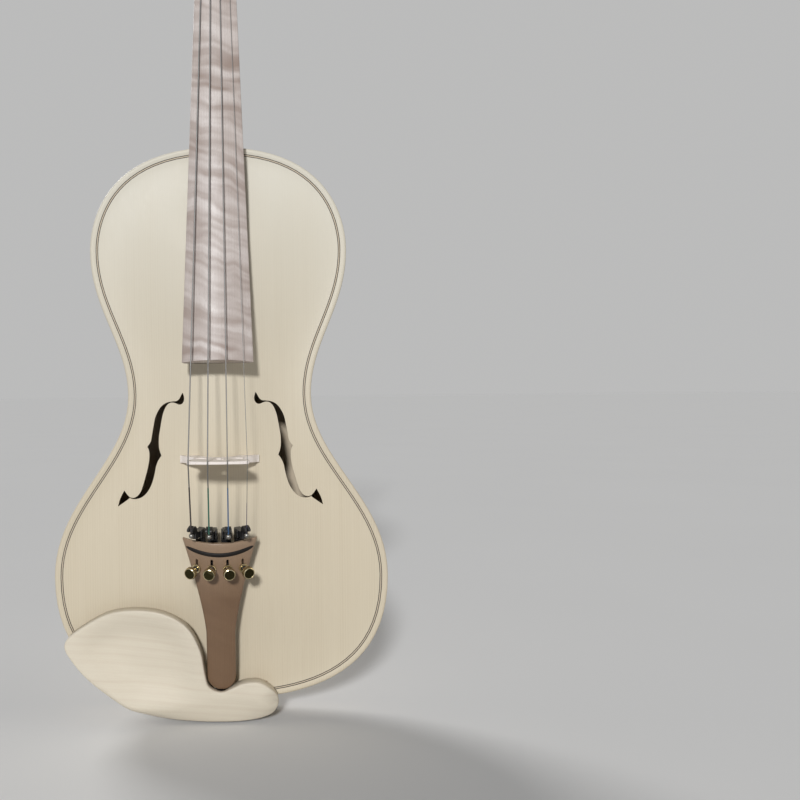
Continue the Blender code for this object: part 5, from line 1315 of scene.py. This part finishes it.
def buildTuner(name):
    at = tunerMatrix(name)
    stands = "tuner_{}_" + name
    addPiece(name + "TunerFrame", frameMesh(name), "tunerBlack", stands=stands.format("frame"), bevel=0.0002,
             joins=frameJoins(name), cuts=frameCuts(name))
    addPiece(name + "TunerLever", leverMesh(name), "tunerBlack", body=name + "_lever",
             stands=stands.format("lever"), bevel=0.00035,
             joins=[tunerPin(name, tunerLook["pivot"], tunerLook["lever"] + 0.0011)],
             cuts=leverCuts(name, stringLook[name]["radius"]))
    inner, outer = tunerLook["collar"] + 0.0001, tunerLook["nut"]
    low, high = 0.0001, tunerLook["collarTop"] - 0.0004
    ring = [(inner, low, 0), (outer - 0.0003, low, 0), (outer, low + 0.0003, 1), (outer, high - 0.0003, 1),
            (outer - 0.0003, high, 0), (inner, high, 0)]
    addPiece(name + "TunerRing", loft(knurled(ring, 26, 0.00016, at), wrap=True), "brass",
             stands=stands.format("nut"), sharp=25)
    head, shank, base = tunerLook["head"], tunerLook["screw"], 0.0064
    rows = [(shank * 0.6, tunerLook["leverTop"] + 0.0001, 0), (shank, tunerLook["leverTop"] + 0.0005, 0)]
    rows += [(shank - 0.00012 * (k % 2), mix(tunerLook["leverTop"] + 0.0005, 0.0028, k / 48), 0)
             for k in range(1, 49)]
    rows += [(shank, 0.0030, 0), (shank * 1.1, base - 0.0006, 0), (shank * 1.5, base, 0), (head * 0.72, base + 0.0001, 0),
             (head * 0.90, base + 0.0003, 0), (head, base + 0.0007, 1), (head, base + 0.0031, 1),
             (head * 0.93, base + 0.0036, 0), (head * 0.84, base + 0.0038, 0), (head * 0.80, base + 0.00365, 0),
             (head * 0.78, base + 0.0033, 0)]
    faceHeight = bodyLook["endButtonReach"]

    # the top face of each screw head is coloured near-black brass
    def paintHead(centre):
        spot = at.inverted() @ (centre - Vector((0, 0, faceHeight)))
        return 1 if spot.z > base + 0.0032 and math.hypot(spot.x, spot.y) < head * 0.79 else 0
    addPiece(name + "TunerScrew", loft(knurled(rows, 30, 0.00022, at)), ("brass", "darkFaceBrass"),
             body=name + "_screw", stands=stands.format("screw"), sharp=25, paint=paintHead)


def gutMesh():
    reach, gut = tailLook["gutSpread"], tailLook["gut"]
    holeV = tailLook["length"] - tailLook["gutHole"]
    holeZ = tailLook["topPlace"] - holeV
    face = tailFace(reach, holeV)
    over = -(halfRib + saddleLook["height"] + gut + 0.0002)
    ring = buttonLook["pin"] + gut + 0.0001
    stops = [(face + 0.0014, holeZ), (face + 0.0022, holeZ), (face + 0.0035, holeZ), (over - 0.0006, holeZ - 0.0005),
             (over, holeZ - 0.0025), (over, 0.0060), (over, 0.0030), (over + 0.0001, 0.0010), (over + 0.0012, -0.0006),
             (over + 0.0032, -0.0014), (-halfRib, -0.0018)]
    down = [Vector((reach, y, z)) for y, z in stops] + [Vector((reach + 0.0008, -0.007, -0.0030))]
    arc = [Vector((ring * math.cos(math.pi * k / 8), ring * math.sin(math.pi * k / 8), buttonLook["neckPlace"]))
           for k in range(9)]
    points = down + arc + [Vector((-p.x, p.y, p.z)) for p in down[::-1]]
    path = smoothLoop(points, 4, closed=False)
    radii = [gut] * len(path)
    return tube(path, radii, 14)


# strings: ball, silk, winding over bridge and nut, turns on the peg

stringLook = {
    "g": {"radius": 0.00040, "silk": "brownSilk", "end": 0.030},
    "d": {"radius": 0.00040, "silk": "greenSilk", "end": 0.030},
    "a": {"radius": 0.00034, "silk": "blueSilk", "end": 0.030},
    "e": {"radius": 0.00018, "silk": "darkSilk", "end": 0.020},
}
ballRadius = 0.0016


def woundPath(name, radius):
    a = pegLook["places"][name]
    side = pegLook["sides"][name]
    depth = pegLook["depth"]
    turns, pitch = pegLook["winding"]
    room = boxHalfWidth(a) - headLook["cheek"] - radius - 0.0006
    xRun = side * min(room, pitch * turns + 0.0012)
    loopRadius = pegRadius(abs(xRun)) + radius + 0.00025
    xNut = stringSpread(name, bridgeLook["nutSpread"])
    start = Vector((xNut, nutTop + boardRise(abs(xNut)) - radius - 0.0001, nutPlace + 0.0006))
    origin = headPoint(0, 0, 0)
    axisA = (headPoint(0, 1, 0) - origin).normalized()
    axisB = (headPoint(0, 0, 1) - origin).normalized()
    startA, startB = (start - origin).dot(axisA), (start - origin).dot(axisB)
    reach = math.hypot(a - startA, depth - startB)
    heading = math.atan2(depth - startB, a - startA) - math.asin(loopRadius / reach)
    run = math.sqrt(reach**2 - loopRadius**2)
    first = math.atan2(startB + run * math.sin(heading) - depth, startA + run * math.cos(heading) - a)
    coil = []
    for k in range(int(turns * 40) + 1):
        angle = first + 2 * math.pi * k / 40
        x = xRun - side * pitch * k / 40
        coil.append(headPoint(x, a + loopRadius * math.cos(angle), depth + loopRadius * math.sin(angle)))
    return start, coil


def buildString(name):
    look = stringLook[name]
    radius = look["radius"]
    ball = tunerMatrix(name) @ Vector((0, *ballPlace))
    x = stringSpread(name, bridgeLook["spread"])
    over = Vector((x, bridgeCurve(x) - radius - 0.0001, bridgeLook["place"]))
    start, coil = woundPath(name, radius)
    ahead = (over - ball).normalized()
    path, radii = [], []
    for k in range(13):
        angle = math.pi * (0.04 + 0.86 * k / 12)
        path.append(ball - ahead * ballRadius * math.cos(angle))
        radii.append(ballRadius * math.sin(angle))
    thick = radius * 1.2
    silkEnd = look["end"]
    run = (over - ball).length
    for reach, size in ((0.0022, thick * 1.5), (0.0045, thick * 1.25), (0.0050, thick), (silkEnd, thick),
                        (silkEnd + 0.0006, radius), (run - 0.0022, radius)):
        path.append(ball + ahead * reach)
        radii.append(size)
    onward = (start - over).normalized()
    path += [over, over + onward * 0.0022]
    path += [over + onward * share * (start - over).length for share in (0.25, 0.5, 0.75)]
    path += [start - onward * 0.002, start] + coil
    radii += [radius] * (len(path) - len(radii))
    lift = Vector((0, 0, bodyLook["endButtonReach"]))
    ballTop = (ball + ahead * ballRadius * 0.95 + lift).z
    silkTop = (ball + ahead * silkEnd + lift).z
    upperSilk = nutPlace + 0.0002 + lift.z

    def paintAlong(centre):
        if centre.z < ballTop:
            return 2
        return 1 if centre.z < silkTop or centre.z > upperSilk else 0
    winding = "plainSteel" if name == "e" else "windingSteel"
    piece = addPiece(name + "String", tube(path, radii, 12), (winding, look["silk"], "ballMetal"), body=None,
                     stands="string_" + name, sharp=50, paint=paintAlong)
    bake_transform(piece)


addPiece("saddle", saddleMesh(), "darkHardwood", stands="saddle", sharp=45)
addPiece("endButton", buttonMesh(), "darkHardwood", stands="end_button", sharp=40)
tailCuts = [gutHoleTool(-1), gutHoleTool(1)]
for letter in stringOrder:
    tailCuts += keyholeTools(letter)
addPiece("tailpiece", tailpieceMesh(), "tailWood", stands="tailpiece", sharp=40, cuts=tailCuts)
addPiece("tailFret", fretMesh(), "dullEbony", stands="tailpiece_fret", sharp=60)
addPiece("tailGut", gutMesh(), "blackNylon", stands="tailgut", sharp=60)
for letter in stringOrder:
    buildTuner(letter)
    buildString(letter)
print("tailpiece, tuners and strings done")


# chin rest and its clamp

restLook = {
    "upper": ((-0.0975, 0.0398), (-0.0866, 0.0503), (-0.0660, 0.0603), (-0.0405, 0.0612), (-0.0222, 0.0530),
              (-0.0133, 0.0375), (-0.0105, 0.0220), (-0.0080, 0.0128), (-0.0005, 0.0094), (0.0072, 0.0120),
              (0.0135, 0.0148), (0.0238, 0.0152), (0.0325, 0.0090), (0.0356, 0.0008)),
    "lower": ((-0.0920, 0.0275), (-0.0785, 0.0130), (-0.0605, -0.0020), (-0.0470, -0.0068), (-0.0330, -0.0098),
              (-0.0210, -0.0112), (-0.0110, -0.0119), (-0.0010, -0.0121), (0.0070, -0.0120), (0.0150, -0.0114),
              (0.0250, -0.0096), (0.0325, -0.0060)),
    "lift": 0.0034, "rim": 0.0105, "cup": 0.0055, "ease": 0.0013, "foot": 0.0018, "fine": 12,
    "roll": 0.0080, "rollWidth": (0.003, 0.019), "knob": (0.025, 0.007, 0.006, 0.0012),
    "gutArch": (0.0065, 0.0072),
}


def restBase(x, z):
    # the arch of the top under the chin rest, level beyond the edge
    centre = bodyLook["lower"][1]
    inside = 1 - math.hypot(x / bodyLook["lower"][0], (z - centre) / centre)
    return mix(bodyLook["edge"], bodyLook["topArch"], smoothStep(inside))


def restUnder(x, z):
    height, width = restLook["gutArch"]
    arch = math.exp(-(x / width) ** 2) * (1 - smoothStep((z - 0.010) / 0.008)) * smoothStep((z + 0.0075) / 0.004)
    return max(restBase(x, z), topHeight(x, z)) + restLook["lift"] + height * arch


def bandOf(line):
    # a tall ribbon along a line, to measure the distance from it
    spots = [Vector((point.x, depth, point.y)) for point in line for depth in (-1, 1)]
    return BVHTree.FromPolygons(spots, [(k, k + 1, k + 3, k + 2) for k in range(0, len(spots) - 2, 2)])


def quarterDrop(distance, radius):
    rest = 1 - clamp(distance / radius, 0, 1)
    return 1 - math.sqrt(1 - rest * rest)


def restTop(spot, toEdge, toUpper, toLower):
    # a dish behind a ridge; below the ridge the wood rolls over to the lower edge
    wide = mix(*restLook["rollWidth"], smoothStep((spot.x + 0.065) / 0.070))
    wide *= 1 - 0.35 * smoothStep((spot.x - 0.010) / 0.020)
    dish = smoothStep(toUpper / 0.020) * smoothStep((toLower - 0.8 * wide) / 0.022)
    dish *= smoothStep(-(spot.x + 0.004) / 0.035)
    share = 1 - clamp(toLower / wide, 0, 1)
    roll = mix(share ** 1.35, quarterDrop(toLower, wide), 0.3) * smoothStep((spot.x + 0.085) / 0.030)
    x, z, size, height = restLook["knob"]
    knob = height * math.exp(-((spot.x - x) ** 2 + (spot.y - z) ** 2) / (2 * size * size))
    return (restBase(spot.x, spot.y) + restLook["lift"] + restLook["rim"] + knob - restLook["cup"] * dish
            - restLook["roll"] * roll - restLook["ease"] * quarterDrop(toEdge, restLook["ease"]))


def restMesh():
    # sections from the lower edge to the upper one, from the left tip to the right one
    fine, ease, foot = restLook["fine"], restLook["ease"], restLook["foot"]
    line = smoothLoop(restLook["upper"] + restLook["lower"][::-1], fine)
    half = (len(restLook["upper"]) - 1) * fine
    bands = [bandOf(part) for part in (line + line[:1], line[:half + 1], line[half:] + line[:1])]

    def heights(spot):
        toEdge, toUpper, toLower = (band.find_nearest(Vector((spot.x, 0, spot.y)))[3] for band in bands)
        top = restTop(spot, toEdge, toUpper, toLower)
        low = min(restUnder(spot.x, spot.y), top - 0.0022) + 0.0012 * (1 - clamp(toEdge / foot, 0, 1)) ** 2
        return top, low
    rings = []
    near = list(range(0, fine)) + list(range(fine, half - fine, 3)) + list(range(half - fine, half + 1))
    for k in near:
        high, low = line[k], line[-k]
        across = (high - low).length
        shrink = min(1.0, across / (3 * ease))
        stops = [shrink * ease * (1 - math.cos(math.pi / 2 * j / 6)) for j in range(7)]
        middle = [mix(stops[-1], across - stops[-1], (j / 26) ** 1.3) for j in range(1, 26)]
        tops = stops + middle + [across - stop for stop in stops[::-1]]
        shrink = min(1.0, across / (3 * foot))
        stops = [0, shrink * foot * 0.3, shrink * foot]
        middle = [mix(stops[-1], across - stops[-1], j / 14) for j in range(1, 14)]
        lows = stops + middle + [across - stop for stop in stops[::-1]]
        along = (high - low) / across if across else Vector((0, 0))
        ring = [onTop(p.x, p.y, heights(p)[0]) for p in (low + along * stop for stop in tops)]
        ring += [onTop(p.x, p.y, heights(p)[1]) for p in (low + along * stop for stop in lows[::-1])]
        rings.append(ring)
    return loft(rings, caps=False)


def buildChinRest():
    mesh = restMesh()
    tidyMesh(mesh)
    under = BVHTree.FromBMesh(mesh)
    addPiece("chinRest", mesh, "restMaple", stands="chinrest", sharp=70, cuts=[screwBore(side) for side in (-1, 1)])
    return under


clampLook = {
    "spread": 0.0155, "out": 0.0034, "plate": 0.0018, "stud": 0.0015, "barrel": 0.0026, "length": 0.026,
    "cork": 0.0022, "plateSide": (0.0114, 0.0232), "plateRise": (-0.0072, -0.0006), "screwPlace": 0.0202,
    "screw": 0.0008, "screwHead": 0.0017, "grip": 0.007,
}
cadFace = {side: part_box("clamp_plate_" + label)[0].y for side, label in ((-1, "bass"), (1, "treble"))}


def studMatrix(x):
    return Matrix.Translation((x, 0, -clampLook["out"])) @ Matrix.Rotation(math.radians(-90), 4, "X")


def screwBore(side):
    face = cadFace[side]
    radius = clampLook["screw"] + 0.0003
    return turned([(radius, face - 0.0065), (radius, face + 0.004)], studMatrix(side * clampLook["screwPlace"]), 20)


def threaded(radius, low, high, pitch=0.0007, depth=0.00012):
    count = max(2, int((high - low) / pitch * 2))
    return [(radius - depth * (k % 2), mix(low, high, k / count)) for k in range(count + 1)]


def clampPlateMesh(side, face):
    (near, far), (low, high) = clampLook["plateSide"], clampLook["plateRise"]
    corner = 0.0015
    points = []
    for x, z, start in ((far - corner, high - corner, 0), (near + corner, high - corner, 90),
                        (near + corner, low + corner, 180), (far - corner, low + corner, 270)):
        for step in range(6):
            angle = math.radians(start + 90 * step / 5)
            points.append(((x + corner * math.cos(angle)) * side, z + corner * math.sin(angle)))
    return slab(points, face, face + clampLook["plate"], lambda x, z, y: Vector((x, y, z)))


def barrelRings(side):
    half = clampLook["length"] / 2
    inner, outer = clampLook["stud"] + 0.0001, clampLook["barrel"]
    profile = [(inner, -half), (outer - 0.0004, -half), (outer, -half + 0.0005), (outer, -half + 0.0030),
               (outer - 0.0002, -half + 0.0033), (outer - 0.0002, half - 0.0033), (outer, half - 0.0030),
               (outer, half - 0.0005), (outer - 0.0004, half), (inner, half)]
    at = studMatrix(side * clampLook["spread"])
    return turned(profile + profile[:1], at, 40)


def keyTools(side):
    tools = []
    for height in (-0.0032, 0.0032):
        at = Matrix.Translation((side * clampLook["spread"], height, -clampLook["out"]))
        at = at @ Matrix.Rotation(math.radians(90), 4, "Y")
        tools.append(turned([(0.0008, -0.004), (0.0008, 0.004)], at, 20))
    return tools


footPoints = ((0.0, -0.0046), (0.0110, -0.0058), (0.0165, -0.0060), (0.0205, -0.0025), (0.0210, 0.0030),
              (0.0185, 0.0075), (0.0130, 0.0092), (0.0075, 0.0072), (0.0035, 0.0040), (0.0, 0.0032))


def footLine(shrink, floor):
    half = [Vector(point) for point in footPoints]
    line = smoothLoop(half + [Vector((-p.x, p.y)) for p in half[-2:0:-1]], 5)
    return [(p.x * shrink, max(0.001 + (p.y - 0.001) * shrink, floor)) for p in line]


def buildClamp(under):
    low = halfRib + bodyLook["edge"] + clampLook["cork"] + 0.0006
    grip, half = clampLook["grip"], clampLook["length"] / 2
    for side, label in ((-1, "bass"), (1, "treble")):
        face = cadFace[side]
        back = face + clampLook["plate"]
        at = studMatrix(side * clampLook["spread"])
        stud = [(0.0009, -half + grip)] + threaded(clampLook["stud"], -half + grip, face + 0.0006)[::1]
        hole = clampLook["screw"] + 0.0002
        screwAt = studMatrix(side * clampLook["screwPlace"])
        addPiece(label + "ClampPlate", clampPlateMesh(side, face), "nickel", stands="clamp_plate_" + label,
                 bevel=0.00025, joins=[turned(stud, at, 28)],
                 cuts=[turned([(hole, face - 0.001), (hole, back + 0.001)], screwAt, 20)])
        screw, head = clampLook["screw"], clampLook["screwHead"]
        profile = [(0, face - 0.0060), (screw * 0.3, face - 0.0058)] + threaded(screw, face - 0.0048, face - 0.0004)
        profile += [(screw, back), (screw, back + 0.0001), (head, back + 0.0001), (head * 0.94, back + 0.0006),
                    (head * 0.70, back + 0.0010), (head * 0.35, back + 0.0012), (0, back + 0.0012)]
        slot = Matrix.Translation((side * clampLook["screwPlace"], back + 0.0012, -clampLook["out"]))
        groove = slab([(-0.0003, -0.003), (0.0003, -0.003), (0.0003, 0.003), (-0.0003, 0.003)], -0.0005, 0.0005,
                      lambda z, x, y: slot @ Vector((x, y, z)))
        addPiece(label + "ClampScrew", turned(profile, screwAt, 28), "nickel", stands="clamp_screw_" + label,
                 cuts=[groove])
        addPiece(label + "ClampBarrel", barrelRings(side), "nickel", body=label + "_barrel",
                 stands="clamp_barrel_" + label, cuts=keyTools(side))
    foot = slab(footLine(1, -1), low, low + clampLook["plate"], lambda x, z, y: Vector((x, y, z)))
    studs = []
    for side in (-1, 1):
        profile = [(0.0009, half - grip)] + threaded(clampLook["stud"], half - grip, low + 0.0006)
        studs.append(turned(profile, studMatrix(side * clampLook["spread"]), 28))
    addPiece("clampFoot", foot, "nickel", body="rest_foot", stands="clamp_foot", bevel=0.0004, joins=studs)
    cork = slab(footLine(0.9, 0.0014), low - clampLook["cork"] - 0.0003, low - 0.0001,
                lambda x, z, y: Vector((x, y, z)))
    addPiece("footCork", cork, "sheetCork", body="rest_foot", stands="foot_cork", bevel=0.0002)
    for label, start, end in (("bass", -0.034, -0.0195), ("treble", 0.0195, 0.0285)):
        rings = []
        for k in range(13):
            x = mix(start, end, k / 12)
            edge = outlineAt(stationAt(abs(x), 0, 3.3, 4))[0].y + 0.0014
            places = [mix(edge, 0.0115, j / 8) for j in range(9)]
            low = [Vector((x, -halfRib - topHeight(x, z) - 0.0001, z)) for z in places]
            high = []
            for z in places:
                hit = under.ray_cast(Vector((x, 0, z)), Vector((0, -1, 0)))[0]
                high.append(Vector((x, hit.y + 0.0001, z)))
            rings.append(low + high[::-1])
        addPiece(label + "RestCork", loft(rings), "sheetCork", stands="chinrest_cork_" + label, sharp=40)


buildClamp(buildChinRest())
print("chin rest and clamp done")


# floor, light and camera

stageLook = {"colour": (0.72, 0.72, 0.72), "radius": 60.0, "background": (0.500, 0.500, 0.498)}


def makeStage():
    mesh = bmesh.new()
    rim = bmesh.ops.create_circle(mesh, segments=64, radius=stageLook["radius"], cap_ends=True)
    bmesh.ops.translate(mesh, vec=(0, 0, -0.0002), verts=rim["verts"])
    data = bpy.data.meshes.new("floor")
    mesh.to_mesh(data)
    mesh.free()
    floor = bpy.data.objects.new("floor", data)
    bpy.context.scene.collection.objects.link(floor)
    material, tree, shader, where = startMaterial("paperFloor")
    mottle = stretchedNoise(tree, where, (3.0, 3.0, 3.0), 2.0)
    shade = tuple(0.95 * part for part in stageLook["colour"])
    tree.links.new(tint(tree, mottle, 0.6, stageLook["colour"], shade), shader.inputs["Base Color"])
    shader.inputs["Roughness"].default_value = 0.9
    shader.inputs["Specular IOR Level"].default_value = 0.0
    data.materials.append(material)


def sunLight(name, towards, softness, strength, colour):
    data = bpy.data.lights.new(name, "SUN")
    data.angle = math.radians(softness)
    data.energy = strength
    data.color = colour
    lamp = bpy.data.objects.new(name, data)
    lamp.rotation_euler = (-Vector(towards)).to_track_quat("-Z", "Y").to_euler()
    bpy.context.scene.collection.objects.link(lamp)


cameraLook = {"place": (0.0197, -0.567, 0.208), "roll": -0.60, "lens": 38.73, "shift": (0.187, -0.0079)}


def makeCamera():
    data = bpy.data.cameras.new("camera")
    data.sensor_width = 36.0
    data.lens = cameraLook["lens"]
    data.shift_x, data.shift_y = cameraLook["shift"]
    data.clip_start = 0.01
    camera = bpy.data.objects.new("camera", data)
    turned = Matrix.Rotation(math.radians(90), 4, "X") @ Matrix.Rotation(math.radians(cameraLook["roll"]), 4, "Z")
    camera.matrix_world = Matrix.Translation(cameraLook["place"]) @ turned
    bpy.context.scene.collection.objects.link(camera)
    bpy.context.scene.camera = camera


def makeWorld():
    world = bpy.data.worlds.new("softRoom")
    world.use_nodes = True
    tree = world.node_tree
    light = tree.nodes["Background"]
    light.inputs["Color"].default_value = (0.95, 0.97, 1.0, 1.0)
    light.inputs["Strength"].default_value = 0.05
    shown = addNode(tree, "ShaderNodeBackground", {"Color": (*stageLook["background"], 1.0), "Strength": 1.0})
    rays = addNode(tree, "ShaderNodeLightPath")
    seen = mathNode(tree, "MAXIMUM", rays.outputs["Is Camera Ray"], rays.outputs["Is Glossy Ray"])
    seen = mathNode(tree, "MAXIMUM", seen, rays.outputs["Is Transmission Ray"])
    choice = addNode(tree, "ShaderNodeMixShader", {0: seen})
    tree.links.new(light.outputs[0], choice.inputs[1])
    tree.links.new(shown.outputs[0], choice.inputs[2])
    tree.links.new(choice.outputs[0], tree.nodes["World Output"].inputs["Surface"])
    bpy.context.scene.world = world


makeStage()
sunLight("windowLight", (-0.18, -1.0, 0.43), 7.0, 2.56, (0.98, 0.99, 1.0))
sunLight("rearLight", (-0.7, 1.0, 0.8), 24.0, 1.7, (1.0, 0.99, 0.97))
sunLight("sideLight", (1.0, -0.25, 0.30), 30.0, 0.40, (1.0, 0.95, 0.88))
makeWorld()
makeCamera()
bpy.context.scene.view_settings.view_transform = "Standard"
print("stage, lights and camera set")
